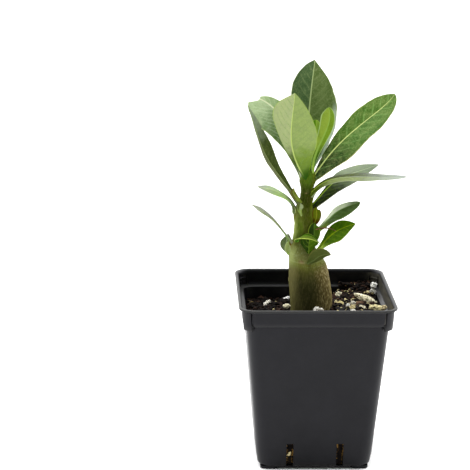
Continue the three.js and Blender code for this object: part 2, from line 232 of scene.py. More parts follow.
def meshPiece(name, points, faces, material, slot, replaced=(), values=None, smooth=True):
    # a mesh from arrays: points in mm, faces as arrays of index rows, values as point attributes
    mesh = bpy.data.meshes.new(name)
    loops = np.concatenate([np.ravel(rows) for rows in faces]).astype(np.int32)
    sizes = np.concatenate([np.full(len(rows), rows.shape[1]) for rows in faces])
    mesh.vertices.add(len(points))
    mesh.vertices.foreach_set("co", (np.asarray(points, float) * mm).ravel())
    mesh.loops.add(len(loops))
    mesh.loops.foreach_set("vertex_index", loops)
    mesh.polygons.add(len(sizes))
    mesh.polygons.foreach_set("loop_start", (np.cumsum(sizes) - sizes).astype(np.int32))
    mesh.polygons.foreach_set("use_smooth", np.full(len(sizes), smooth))
    for key, array in (values or {}).items():
        made = mesh.attributes.new(key, "FLOAT", "POINT")
        made.data.foreach_set("value", np.asarray(array, np.float32).ravel())
    mesh.update(calc_edges=True)
    mesh.validate()
    mesh.materials.append(material)
    piece = place(mesh)
    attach(piece, "root")
    if replaced:
        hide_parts(*replaced)
    return piece


def skinFaces(rows, around):
    # quads of a tube of rings, and the triangle fans that close it on a first and a last point
    i = np.arange(rows - 1)[:, None] * around
    j = np.arange(around)[None, :]
    k = (j + 1) % around
    quads = np.stack([i + j, i + k, i + around + k, i + around + j], -1).reshape(-1, 4)
    j, k = j[0], k[0]
    last = (rows - 1) * around
    start = np.full(around, rows * around)
    fans = [np.stack([start, k, j], -1), np.stack([start + 1, last + j, last + k], -1)]
    return quads, np.concatenate(fans)


def ringSkin(rings, first, last):
    # rings is rows x around x 3, closed by one point at each end
    return np.concatenate([rings.reshape(-1, 3), [first], [last]]), skinFaces(*rings.shape[:2])


def ease(x, low, high):
    # smooth step: 0 up to low, 1 from high on
    t = np.clip((x - low) / (high - low), 0, 1)
    return t * t * (3 - 2 * t)


def bell(x, width):
    # 1 at 0, and e to the power -1 at the width
    return np.exp(-(x / width) ** 2)


def unit(rows):
    # vectors of length one
    return rows / np.linalg.norm(rows, axis=1, keepdims=True)


def spin(x, y, turn):
    # points turned about the origin
    return x * np.cos(turn) - y * np.sin(turn), x * np.sin(turn) + y * np.cos(turn)


def turnFrom(bearing, angle):
    # the angle between two directions, from minus half a turn to half a turn
    return (angle - bearing + np.pi) % (2 * np.pi) - np.pi


def ripple(x, y, z, seed, count=7, grain=1.0):
    # smooth noise: a sum of sines in seeded directions, about -1 to 1, with waves about grain long
    random = np.random.default_rng(seed)
    total = np.zeros(np.broadcast(x, y, z).shape)
    for _ in range(count):
        way = random.normal(size=3)
        way *= random.uniform(0.6, 1.6) * 2 * np.pi / grain / np.linalg.norm(way)
        total += np.sin(way[0] * x + way[1] * y + way[2] * z + random.uniform(0, 6.28))
    return total / np.sqrt(count) * 0.8


# Trunk and stem: sections from the swollen root end to the crown, in mm

trunk = {
    "heights": [60, 64, 70, 78, 88, 95.5, 103, 110.5, 115.5, 120, 125, 129, 133, 141, 146, 150, 154,
                160, 165, 168.5, 170.5],
    "centres": [-2, -1.8, -1.5, -1.2, -1.1, -1.5, -2.2, -3.2, -4.1, -5.6, -6.9, -7.2, -7, -6.6, -6.8,
                -5.9, -5.3, -5.1, -5, -4.6, -4.4],
    "radii": [5, 8.5, 11, 12.1, 12.2, 12.4, 12.2, 11.5, 10.9, 9.2, 7, 6, 5.6, 5.7, 5.3, 4.4, 3.7, 3.3,
              3.8, 3.9, 2.6],
    "rows": 420,
    "around": 200,
}


def trunkCurve(z, key):
    # the table smoothed: a mean of straight interpolation over 3 mm up and down
    steps = np.linspace(-3, 3, 13)
    weights = bell(steps, 2.0)
    heights, values = trunk["heights"], trunk[key]
    total = sum(w * np.interp(z + s, heights, values) for s, w in zip(steps, weights))
    return total / weights.sum()


# Leaves: the midrib runs through four points, the upper side faces the way given at base and tip,
# half is the width of each side, widest its place along the leaf, and the edge is a sine to the
# power blunt. The two colours are those of the halves of the side that is seen. Sizes in mm.


def newLeaf(midrib, faces, *halves, **changes):
    common = {
        "fold": 5, "stalk": 1.2, "curl": 0.0, "dent": None, "lobes": (0, 0), "slot": "dark_leaf",
        "base": None, "base2": None, "baseEnd": 0.3,  # colours of the base, and where they end
        # foot is the colour at the very base: painted shade on some leaves, a brown joint on others; the
        # half, tip and rib colours hold a painted sheen on several leaves
        "foot": None, "tip": None, "tipStart": 0.65,
        "rib": "#a9c97a", "ribTip": None, "ribWide": (1.0, 0.2),
        # edgeBand: the side, colour and end along the leaf of a painted sheen along one edge
        "veins": 0.25, "vein": None, "veinGap": 1.0, "margin": "#b4c890", "edgeBand": None,
        "under": False,  # the lower side is the one that is seen
        "far": "#5c7538",  # colour of the other side
    }
    return {**common, "midrib": midrib, "faces": faces, "halves": halves, **changes}


toViewer = (0, -1, 0.2)

leaves = {
    # leaf_back_tall: its pale blue-grey band along one edge is painted sheen
    "leaf_back_tall": newLeaf(
        [(-3.5, 3.2, 167.5), (-4.5, 11, 191), (-2.5, 16, 216.5), (-0.5, 20, 232)],
        [(-0.1, -0.9, 0.3), (0.5, -0.8, 0.2)], "#3d5932", "#566b35", half=(12, 16.5),
        widest=(0.64, 0.48), blunt=1.2, fold=2, curl=0.6, base="#39542c", rib="#b2c383",
        margin="#a7b27f", veins=0.22, veinGap=1.3, edgeBand=(1, "#b9c9bb", 0.6)),
    # leaf_front_pale: its foot colour is painted shade where the leaf meets the stem
    "leaf_front_pale": newLeaf(
        [(-6, -3, 167), (-14.5, -8, 186.5), (-15, -12, 203.5), (-14, -13, 218)],
        [(0.2, 1, 0.1), (0.5, 0.8, 0.4)], "#879a59", "#9eaa78", half=(15, 12), widest=(0.475, 0.7),
        blunt=0.95, fold=1, curl=0.3, slot="pale_leaf", base="#648024", base2="#2c4406",
        baseEnd=0.4, foot="#31560f", rib="#b6c96f", ribWide=(0.6, 0.12), margin="#93ac48",
        veins=0.6, vein="#74904c", under=True, far="#3c6428"),
    "leaf_right_broad": newLeaf(
        [(-1.4, -0.8, 165.5), (15, 4.5, 187), (33.5, 9, 202), (45.5, 12, 213.5)],
        [(-0.5, -0.5, 0.7), (-0.5, -0.6, 0.6)], "#395f13", "#43682a", half=(10.5, 13),
        widest=(0.64, 0.47), blunt=0.7, fold=4, curl=0.2, dent=(1, 0.27, 0.15, 3.2), base="#062405",
        baseEnd=0.4, tip="#4c6c29", rib="#dae78f", ribWide=(0.65, 0.12), margin="#a5a662",
        veins=0.36, vein="#93c06a", veinGap=1.5),
    # leaf_left_broad: its pale halves and whitish tip, rib and veins are partly leaf colour, partly
    # painted sheen
    "leaf_left_broad": newLeaf(
        [(-8, 0.5, 165.5), (-12.5, 2.5, 181.5), (-19.5, 5.5, 199), (-33, 8, 211)],
        [(0.3, -0.8, 0.4)] * 2, "#829c6c", "#6f9c3e", half=(14.8, 7.5), widest=(0.77, 0.6),
        blunt=0.6, fold=4, curl=0.3, lobes=(6.2, 1.0), slot="pale_leaf", base="#36540c",
        baseEnd=0.98, tip="#a9bd8e", rib="#d8e0b7", ribWide=(1.0, 0.5), margin="#a4b477", veins=0.5,
        vein="#c9dcb4", veinGap=0.8),
    # leaf_left_long: the pale first half and the grey tip are painted sheen
    "leaf_left_long": newLeaf(
        [(-9, -0.5, 151), (-24.5, -1.5, 172), (-32, -3.5, 186), (-40, -5, 209.5)],
        [(0.8, -0.6, 0.4)] * 2, "#696e4e", "#384419", half=(4.5, 6.5), widest=(0.46, 0.62),
        blunt=0.85, fold=20, curl=0.05, base="#6f8523", baseEnd=0.12, tip="#8b9980", tipStart=0.62,
        rib="#8b9c5a", ribWide=(0.4, 0.15), margin="#8f9669", veins=0.14),
    # leaf_right_arched: the grey tip and rib tip are painted sheen
    "leaf_right_arched": newLeaf(
        [(-3, -2, 156), (8.5, -5, 166.5), (27, -9, 169), (50.5, -13, 170)],
        [(-0.1, -0.3, 1), (0, -0.1, 1)], "#484e37", "#707b4b", half=(5, 7), widest=(0.7, 0.58),
        blunt=0.4, fold=3, curl=0.2, slot="pale_leaf", base="#3f5106", baseEnd=0.35, tip="#9ba1a2",
        tipStart=0.5, rib="#a1bc3a", ribTip="#a0a991", ribWide=(0.8, 0.12), margin="#92997a",
        veins=0.1),
    # leaf_right_low: the grey-green halves, tip and rib tip are painted sheen over the green
    "leaf_right_low": newLeaf(
        [(-2.5, 0.5, 148), (10, 6, 161.5), (21.5, 11, 166.5), (38, 16, 171)],
        [(-0.4, -0.5, 0.8), (-0.5, -0.3, 0.8)], "#858f7c", "#76826c", half=(8.5, 10.6),
        widest=(0.74, 0.49), blunt=0.76, fold=1, curl=0.3, base="#091805", baseEnd=0.62,
        tip="#758270", rib="#91af31", ribTip="#b4c2a0", ribWide=(0.6, 0.15), margin="#a8aa95",
        veins=0.15),
    # leaf_left_arched: its pale halves and grey tip are partly leaf colour, partly painted sheen
    "leaf_left_arched": newLeaf(
        [(-11.5, -1, 145), (-17, -3, 155.5), (-26.5, -5, 160.5), (-34, -5, 162.5)],
        [(-0.1, -0.3, 0.9), (0.2, -0.1, 1)], "#8ead5e", "#acc690", half=(7, 5), widest=(0.55, 0.63),
        blunt=0.76, fold=2, curl=0.2, slot="pale_leaf", base="#5f6d44", baseEnd=0.35, tip="#87828e",
        tipStart=0.4, rib="#c0d384", margin="#d6debf", veins=0.1),
    "leaf_left_slim": newLeaf(
        [(-12.5, -1.5, 127.5), (-19.5, -3, 137), (-27.5, -4, 145), (-37.5, -5, 152)],
        [(0.6, -0.1, 0.8), (0.6, -0.2, 0.8)], "#929d71", "#979b91", half=(4.5, 4),
        widest=(0.79, 0.75), blunt=1.25, fold=3, stalk=0.95, curl=0.2, slot="pale_leaf",
        base="#68722c", baseEnd=0.45, foot="#5c4a1c", tip="#a5ab9a", rib="#9ea677",
        margin="#979c80", veins=0.05),
    # leaf_right_oval: the near-white first half is painted sheen
    "leaf_right_oval": newLeaf(
        [(-2, -1, 132), (8, -2, 142.5), (14, -3, 148), (25.5, -4, 153)],
        [(-0.6, -0.2, 0.8), (-0.6, -0.5, 0.7)], "#eef6db", "#435c26", half=(4.5, 8),
        widest=(0.63, 0.65), blunt=0.53, fold=2, curl=0.2, base="#779005", tip="#596e42",
        tipStart=0.7, rib="#739547", margin="#7b8d5c", veins=0.15),
    "leaf_right_lower": newLeaf(
        [(0, -3, 122), (7, -5, 131.5), (13.5, -6, 137), (23, -7, 141)],
        [(-0.5, -0.5, 0.8), (-0.4, -0.7, 0.6)], "#466e0a", "#3f6410", half=(6, 7),
        widest=(0.66, 0.59), blunt=0.86, fold=2, curl=0.2, base="#d8f966", rib="#8fac1a",
        margin="#7e8f17", veins=0.3),
    # leaf_young_tall: its dark base colour is painted shade on the lower part
    "leaf_young_tall": newLeaf(
        [(-2, -1.6, 169.5), (0.5, 0.5, 183), (6, 2, 195.5), (6.5, 3, 207)], [toViewer] * 2,
        "#91aa3c", "#729222", half=(5.4, 3.2), widest=(0.8, 0.7), blunt=0.5, stalk=0.8,
        slot="young_leaf", base="#1a4c05", baseEnd=0.46, rib="#94b64c", margin="#bfda8e",
        veins=0.18, far="#8fb53a"),
    "leaf_young_short": newLeaf(
        [(-4.8, 1.6, 169.8), (-0.5, 3.5, 182), (0, 4, 191), (-0.5, 5, 199.5)], [toViewer] * 2,
        "#4b7a0c", "#a0c049", half=(3.3, 3.3), widest=(0.75, 0.75), blunt=0.45, stalk=0.8,
        slot="young_leaf", base="#5f8c18", rib="#84af27", margin="#b5d05a", veins=0.08,
        far="#8fb53a"),
    "leaf_shoulder": newLeaf(
        [(-4.8, -9.8, 118), (-0.5, -12, 121.3), (3, -13.5, 124), (8.5, -13.5, 124)],
        [(-0.1, 1, 0.3)] * 2, "#505a27", "#505a27", half=(3, 5), widest=(0.56, 0.54), blunt=0.75,
        stalk=0.8, curl=0.1, base="#4c5a24", tip="#74734d", tipStart=0.85, rib="#62703a",
        margin="#6a6c33", veins=0.1, under=True, far="#5a7a30"),
    "leaf_front_fan": newLeaf(
        [(-4, -6.8, 122), (-4, -8.4, 126.5), (-4, -8.5, 129.5), (-3.5, -8.2, 132.5)],
        [toViewer] * 2, "#123305", "#4e7405", half=(5, 5.5), widest=(0.75, 0.75), blunt=0.56,
        stalk=0.8, slot="young_leaf", base="#2a4c05", rib="#7c9932", margin="#1d4205", veins=0.7),
    "leaf_front_flat": newLeaf(
        [(-10.5, -3.5, 129), (-8, -8, 133.5), (-3, -10, 134), (3, -9.4, 128.7)], [(0, -0.2, 1)] * 2,
        "#335806", "#617628", half=(2.5, 5), widest=(0.5, 0.5), blunt=0.8, stalk=0.8,
        slot="young_leaf", base="#5f8410", rib="#6f962a", margin="#d2e766", veins=0.08,
        far="#4f7a24"),
    "leaf_front_upright": newLeaf(
        [(-3.4, -4, 128), (-1, -5.5, 132.5), (-1, -5.8, 137.5), (-0.4, -5.8, 141)], [toViewer] * 2,
        "#1c3205", "#405e0d", half=(3.5, 3.5), widest=(0.56, 0.58), blunt=0.85, stalk=0.8,
        base="#335205", rib="#557426", margin="#8a9d31", veins=0.1),
    "leaf_right_round": newLeaf(
        [(-2, -1, 138), (0.5, -2.5, 143.5), (0.5, -3, 147.5), (1, -2.5, 149)], [toViewer] * 2,
        "#556306", "#506005", half=(2.5, 2.5), widest=(0.53, 0.5), blunt=0.7, stalk=0.6,
        base="#5e2f06", baseEnd=0.35, rib="#80861d", margin="#623f0d", veins=0.2),
    "leaf_left_round": newLeaf(
        [(-12.5, 4.5, 119.5), (-15.5, 6, 124.5), (-16, 6.5, 127), (-15, 7, 131.5)], [toViewer] * 2,
        "#6d7d50", "#6d7d50", half=(3.5, 4.5), widest=(0.5, 0.5), blunt=0.7, base="#738544",
        rib="#b8c39c", margin="#384529", veins=0.1),
    "leaf_left_small": newLeaf(
        [(-14, 0.5, 120.5), (-14.5, 1, 123.5), (-14.5, 0.5, 126.5), (-14, 0, 129)],
        [(-0.3, -1, 0.3)] * 2, "#96a75e", "#e0f0b3", half=(2.5, 2.5), widest=(0.5, 0.5), blunt=0.7,
        slot="pale_leaf", base="#97b25a", rib="#a9bd78", margin="#b4c488", veins=0.05),
    "bud_leaf_left": newLeaf(
        [(-8, -2.5, 152), (-12.5, -5, 157), (-13.5, -5, 159.5), (-13, -4.5, 161.5)], [toViewer] * 2,
        "#4e4e1c", "#687420", half=(1.5, 1.5), widest=(0.5, 0.5), blunt=0.8, stalk=0.6,
        base="#7f9c2a", tip="#5a4822", tipStart=0.55, rib="#7c8a3c", margin="#6e6a34", veins=0.05),
    "bud_leaf_front": newLeaf(
        [(-8, -4.5, 144.5), (-9.5, -6.5, 149), (-9.5, -7, 151), (-9.5, -7, 153)], [toViewer] * 2,
        "#44500e", "#8b9670", half=(2, 2), widest=(0.7, 0.7), blunt=0.6, stalk=0.6,
        slot="pale_leaf", base="#89a239", baseEnd=0.5, rib="#8c9a60", margin="#75834c", veins=0.05),
    "leaf_back_middle": newLeaf(
        [(-5.5, 2.8, 162), (-7, 14, 172), (-9.5, 29, 180), (-12, 46, 180)],
        [(0, -0.4, 1), (0, 0.2, 1)], "#4c6b38", "#44663a", half=(8, 8), widest=(0.6, 0.6),
        blunt=0.8, curl=0.3, base="#3b5c33", rib="#a9c982", veins=0.15),
}

blade = {
    "thickness": 0.75,  # at the middle of the blade
    "petiole": 1.9,  # thickness at the base
    "keel": 1.0,  # height of the midrib under the base of the blade
    "veinStep": 4.2,  # distance between side veins on a large leaf
    "quilt": 0.06,  # swelling between the side veins
    "around": 104,
    "rows": 120,
    "groove": 0.3,  # depth of the furrow over the midrib
    "edgeWave": 0.01, "fineWave": 0.006,  # share of the width
    "lift": 0.15,  # waves of the edge up and down
    "gloss": 0.03,
}


def leafSize(leaf):
    # the length from base to tip, and the share that details grow to on a leaf of this length
    long = np.linalg.norm(np.subtract(leaf["midrib"][3], leaf["midrib"][0]))
    return long, min(1.0, long / 35)


def leafRings(leaf, seed):
    # Rings around the blade, from base to tip. Round each ring the angle runs over the upper side and
    # back under the lower one, across = half width times cos(angle), and the thickness is a flat oval.
    # The midrib is a Bezier curve whose handles make it pass through the four points.
    size = leafSize(leaf)[1]
    rows = max(36, int(blade["rows"] * size))
    around = max(48, int(blade["around"] * size) // 2 * 2)
    s = np.linspace(0, 1, rows + 1)[:-1]
    u = (0.5 * s + 0.25 * (1 - np.cos(np.pi * s)))[:, None]
    p0, p1, p2, p3 = (np.array(point, float) for point in leaf["midrib"])
    h1 = (-5 * p0 + 18 * p1 - 9 * p2 + 2 * p3) / 6
    h2 = (2 * p0 - 9 * p1 + 18 * p2 - 5 * p3) / 6
    centre = (1 - u) ** 3 * p0 + 3 * (1 - u) ** 2 * u * h1 + 3 * (1 - u) * u ** 2 * h2 + u ** 3 * p3
    way = unit(3 * (1 - u) ** 2 * (h1 - p0) + 6 * (1 - u) * u * (h2 - h1) + 3 * u ** 2 * (p3 - h2))
    face = (1 - u) * np.array(leaf["faces"][0], float) + u * np.array(leaf["faces"][1], float)
    up = unit(face - way * np.sum(face * way, axis=1, keepdims=True))
    side = np.cross(way, up)
    angle = 2 * np.pi * np.arange(around) / around
    c = -np.cos(angle)
    v = c * np.abs(c) ** 0.3
    upper = np.where(np.sin(angle) >= 0, 1.0, -1.0)
    width = []
    for number in (0, 1):
        power = np.log(0.5) / np.log(leaf["widest"][number])
        width.append(leaf["half"][number] * np.sin(np.pi * u ** power) ** leaf["blunt"])
    width = np.where(v < 0, *width)
    along = np.concatenate([[0], np.cumsum(np.linalg.norm(np.diff(centre, axis=0), axis=1))])[:, None]
    edgeWave = 1 + blade["edgeWave"] * np.sin(along / 2.3 + seed + 2 * np.sign(v))
    edgeWave = edgeWave + blade["fineWave"] * np.sin(along / 0.9 + 3 * seed)
    width = width * edgeWave + leaf["stalk"] * (1 - u) ** 2
    across = v[None, :] * width
    flat = (1 - np.abs(v) ** 5) ** 0.5
    thick = blade["thickness"] * (0.55 + 0.45 * (1 - v ** 2)) * (0.55 + 0.45 * size)
    thick = thick[None, :] * (1 - 0.35 * u) + (blade["petiole"] * size - 0.3) * bell(u, 0.09)
    rib = (0.3 + 0.8 * (1 - u) ** 1.3) * (0.4 + 0.6 * size)
    keel = blade["keel"] * size * (0.12 + 0.88 * (1 - u) ** 1.4) * bell(across, rib)
    groove = blade["groove"] * size * (1 - 0.6 * u) * bell(across, 0.7 * rib + 0.15)
    groove = groove * ease(u, 0.02, 0.12)
    step = blade["veinStep"] * (0.5 + 0.5 * size)
    phase = (along - 0.7 * np.abs(across) - 0.03 * across ** 2) / step * 2 * np.pi + 0.7 * np.sign(v)
    inner = ease(np.abs(across), 0.4, 2.0) * ease(1 - np.abs(v), 0.0, 0.35) * np.sin(np.pi * u) ** 0.5
    quilt = blade["quilt"] * size * np.cos(phase) * inner
    fold = np.radians(leaf["fold"])
    bend = np.abs(across) * np.sin(fold)
    waves = np.sin(2 * np.pi * u * 1.6 + seed + np.sign(v))
    bend += leaf["curl"] * waves * np.sin(np.pi * u) * v ** 2
    waves = np.sin(along / 3.1 + seed * 2 + 1.5 * np.sign(v))
    bend += blade["lift"] * size * waves * np.abs(v) ** 3 * np.sin(np.pi * u)
    if leaf["dent"]:
        dentSide, middle, spread, depth = leaf["dent"]
        bend = bend - depth * v ** 2 * bell(u - middle, spread) * (v > 0 if dentSide else v < 0)
    lift = bend + quilt + upper * thick / 2 * flat - np.where(upper > 0, groove, keel * flat)
    points = centre[:, None, :] + side[:, None, :] * (across * np.cos(fold))[..., None]
    points = points + up[:, None, :] * lift[..., None]
    lobes = np.where(v > 0, *leaf["lobes"][::-1]) * np.abs(v) ** 1.2
    points += way[:, None, :] * (lobes * ease(u, 0.78, 0.93) * (1 - ease(u, 0.98, 1.0)))[..., None]
    shape = points.shape[:2]
    marks = {
        "along": np.broadcast_to(along, shape),
        "across": across,
        "edge": np.broadcast_to(np.abs(v), shape),
        "upper": np.broadcast_to(upper > 0, shape),
        "reach": np.broadcast_to(u, shape),
    }
    return points, marks, centre[0] - way[0] * 0.3, p3


def makeLeafMaterial(name, leaf):
    # Each half has its colour, which goes over to a base and a tip colour along the leaf; on several
    # leaves the half, tip and rib colours hold a painted sheen, and on one the base colour is painted
    # shade. Over it lie a midrib, side veins that curve to the tip, a fine net, speckles, a margin and
    # the colour of the foot, which is painted shade on some leaves and a brown joint on others. The side
    # that faces away has one colour with faint veins and patches.
    m = Mat(name, Specular_IOR_Level=blade["gloss"])
    along, across = m.attribute("along"), m.attribute("across")
    edge, upper, reach = m.attribute("edge"), m.attribute("upper"), m.attribute("reach")
    flat = m.vector(along, across, 0.0)
    long, size = leafSize(leaf)
    wide = sum(leaf["half"]) / 2
    wobble = m.noise(flat, 0.18, 2.0) - 0.5
    step = blade["veinStep"] * (0.5 + 0.5 * size) * leaf["veinGap"]
    phase = (along - 0.75 * abs(across) - 0.035 * across * across + wobble * 2.4) / step
    away = abs((phase + 0.5).fract() - 0.5)
    broken = m.noise(flat, 0.5, 2.0).ramp(0.3, 0.65, 0.25, 1.0)
    sideVein = (1.0 - away.ramp(0.0, 0.075)) * (1.0 - edge.ramp(0.7, 0.95)) * broken
    glow = (1.0 - away.ramp(0.0, 0.35)) * (1.0 - edge.ramp(0.5, 0.9)) * broken
    cells = m.node("ShaderNodeTexVoronoi", {"feature": "DISTANCE_TO_EDGE"}, Vector=flat, Scale=1.3)
    net = 1.0 - cells.ramp(0.0, 0.1)
    ribWidth = (1.0 - reach) ** 1.2 * (0.85 * size * leaf["ribWide"][0]) + leaf["ribWide"][1]
    rib = 1.0 - (abs(across) / ribWidth).ramp(0.5, 1.1)
    margin = edge.ramp(1.0 - 0.7 / wide, 1.0 - 0.3 / wide)
    speckle = m.noise(m.spot(), 1100.0, 3.0, 0.6)
    patch = m.noise(flat, 0.22, 5.0, 0.65)
    half = across.ramp(-0.35 * size, 0.35 * size)
    drift = wobble * 0.25
    body = m.mix(half, leaf["halves"][0], leaf["halves"][1])
    # tip colour: painted sheen on several leaves, the leaf's own colour on others
    if leaf["tip"]:
        body = m.mix((reach + drift).ramp(leaf["tipStart"], 1.0) * 0.9, body, leaf["tip"])
    # base colour: painted shade on the young tall leaf, the leaf's own colour on the others
    if leaf["base"]:
        base = m.mix(half, leaf["base"], leaf["base2"]) if leaf["base2"] else leaf["base"]
        body = m.mix(1.0 - (reach + drift).ramp(0.4 * leaf["baseEnd"], leaf["baseEnd"]), body, base)
    # painted sheen: a pale band along one edge, fading out before the given end
    if leaf["edgeBand"]:
        side, colour, end = leaf["edgeBand"]
        band = edge.ramp(0.78, 0.92) * (half if side else 1.0 - half)
        body = m.mix(band * (1.0 - reach.ramp(end - 0.15, end)) * 0.9, body, colour)
    dark = leaf["halves"][1]
    veinShare = sideVein * 0.9 + glow * 0.3 + net * 0.15
    body = m.coats(
        body,
        (patch.ramp(0.35, 0.7) * 0.12, shade(leaf["rib"], 0.9)),
        (patch.ramp(0.55, 0.25) * 0.25, shade(dark, 0.6)),
        (speckle.ramp(0.45, 0.75) * 0.15, shade(leaf["rib"], 1.05)),
        (speckle.ramp(0.5, 0.25) * 0.25, shade(dark, 0.55)),
        ((veinShare * leaf["veins"]).clip(), leaf["vein"] or leaf["rib"]))
    shown = 1.0 - upper if leaf["under"] else upper
    back = m.mix(sideVein * 0.3 + glow * 0.12, leaf["far"], shade(leaf["far"], 1.6))
    patches = patch.ramp(0.55, 0.25) * 0.3 + speckle.ramp(0.5, 0.25) * 0.2
    back = m.mix(patches, back, shade(leaf["far"], 0.6))
    ribColour = m.mix(reach.ramp(0.25, 0.6), leaf["rib"], leaf["ribTip"] or leaf["rib"])
    ribColour = m.mix(shown, shade(leaf["far"], 2.0), ribColour)
    body = m.mix(rib * 0.95, m.mix(shown, back, body), ribColour)
    # foot colour: painted shade on some leaves, a brown joint on others
    if leaf["foot"]:
        body = m.mix(1.0 - reach.ramp(0.02, 0.12), body, leaf["foot"])
    body = m.mix(margin * 0.7, body, leaf["margin"])
    relief = sideVein * 0.5 + rib * 0.6 + net * 0.2 + speckle * 0.3
    rough = 0.42 + speckle * 0.16 + (1.0 - upper) * 0.12
    return m.dress(Base_Color=body, Roughness=rough, Normal=m.bump(relief, 0.00015, 0.7))


def makeLeaves():
    for number, (name, leaf) in enumerate(leaves.items()):
        rings, marks, first, last = leafRings(leaf, 1.7 * number)
        ends = {"along": (0, marks["along"][-1, 0]), "upper": (1, 1), "reach": (0, 1)}
        values = {key: np.append(mark, ends.get(key, (0, 0))) for key, mark in marks.items()}
        skin = ringSkin(rings, first, last)
        meshPiece(name + "_blade", *skin, makeLeafMaterial(name, leaf), leaf["slot"], (name,), values)
    print("leaves made:", len(leaves))


makeLeaves()

# Trunk surface

bark = {
    "cushion": 0.9,  # swelling at each leaf base
    "cushionWide": 2.6, "cushionAbove": 1.6, "cushionBelow": 3.2,
    "furrow": 0.12,
    "sway": 0.25,  # slow unevenness of the surface
    "ringDepth": 0.05,
    "scarLip": 0.22, "scarPit": 0.12,
    "scars": [(118.6, -108, 1.7), (136.5, -60, 0.7), (147, -20, 0.8), (158, -100, 0.6),
              (105, 160, 2.0), (118, 70, 1.8), (133, 100, 1.4), (152, 120, 1.0), (98, 20, 1.8)],
}


def makeTrunk():
    # Rings of radius r(z) about a leaning axis. The relief adds a swelling at each leaf base, healed
    # scars, fine lengthwise furrows on the swollen part and faint rings.
    z = np.linspace(trunk["heights"][0], trunk["heights"][-1], trunk["rows"])[:, None]
    angle = np.linspace(0, 2 * np.pi, trunk["around"], endpoint=False)[None, :]
    r = trunkCurve(z, "radii")
    centre = trunkCurve(z, "centres")
    crown = ease(z, 167.5, 170.5)
    r = r * (1 + 0.015 * np.sin(3 * angle + z / 9))
    x, y = centre + r * np.cos(angle), r * np.sin(angle)
    low = 1 - ease(z, 112, 124)
    furrows = np.abs(ripple(x * 2.2, y * 2.2, z * 0.35, 3, 9, 3.2))
    r = r - bark["furrow"] * low * furrows + bark["sway"] * ripple(x, y, z * 0.6, 5, 6, 14)
    r = r + bark["ringDepth"] * ripple(x * 0.25, y * 0.25, z, 8, 6, 3.0) * (1 - low)
    joint = np.zeros_like(r)
    for leaf in leaves.values():
        base = np.array(leaf["midrib"][0], float)
        bearing = np.arctan2(base[1], base[0] - trunkCurve(base[2], "centres"))
        turn = turnFrom(bearing, angle)
        size = 1.0 if leaf["half"][0] > 3.5 else 0.5
        reach = np.where(z > base[2], bark["cushionAbove"], bark["cushionBelow"]) * size
        near = bell(turn * r, bark["cushionWide"] * size) * bell(z - base[2] + 0.4, reach)
        joint = np.maximum(joint, near)
        r = r + bark["cushion"] * size * near * (1 - crown)
    scar = np.zeros_like(r)
    for height, bearing, size in bark["scars"]:
        turn = turnFrom(np.radians(bearing), angle)
        distance = np.hypot(turn * r, (z - height) * 1.5) / size
        lip, pit = bark["scarLip"] * size, bark["scarPit"] * size
        r = r + lip * bell(distance - 1, 0.35) - pit * bell(distance, 0.6)
        scar = np.maximum(scar, bell(distance, 0.9))
    rings = np.stack([centre + r * np.cos(angle), r * np.sin(angle), np.broadcast_to(z, r.shape)], -1)
    first = [trunk["centres"][0], 0, trunk["heights"][0] - 0.5]
    last = [trunk["centres"][-1], 0, trunk["heights"][-1] + 0.4]
    marks = {"scar": scar, "joint": joint, "sideways": np.broadcast_to(np.cos(angle), r.shape)}
    values = {key: np.append(array, [0, 0]) for key, array in marks.items()}
    skin = ringSkin(rings, first, last)
    meshPiece("trunk_bark", *skin, makeBarkMaterial(), "bark", ("caudex_and_stem",), values)
    print("trunk made")


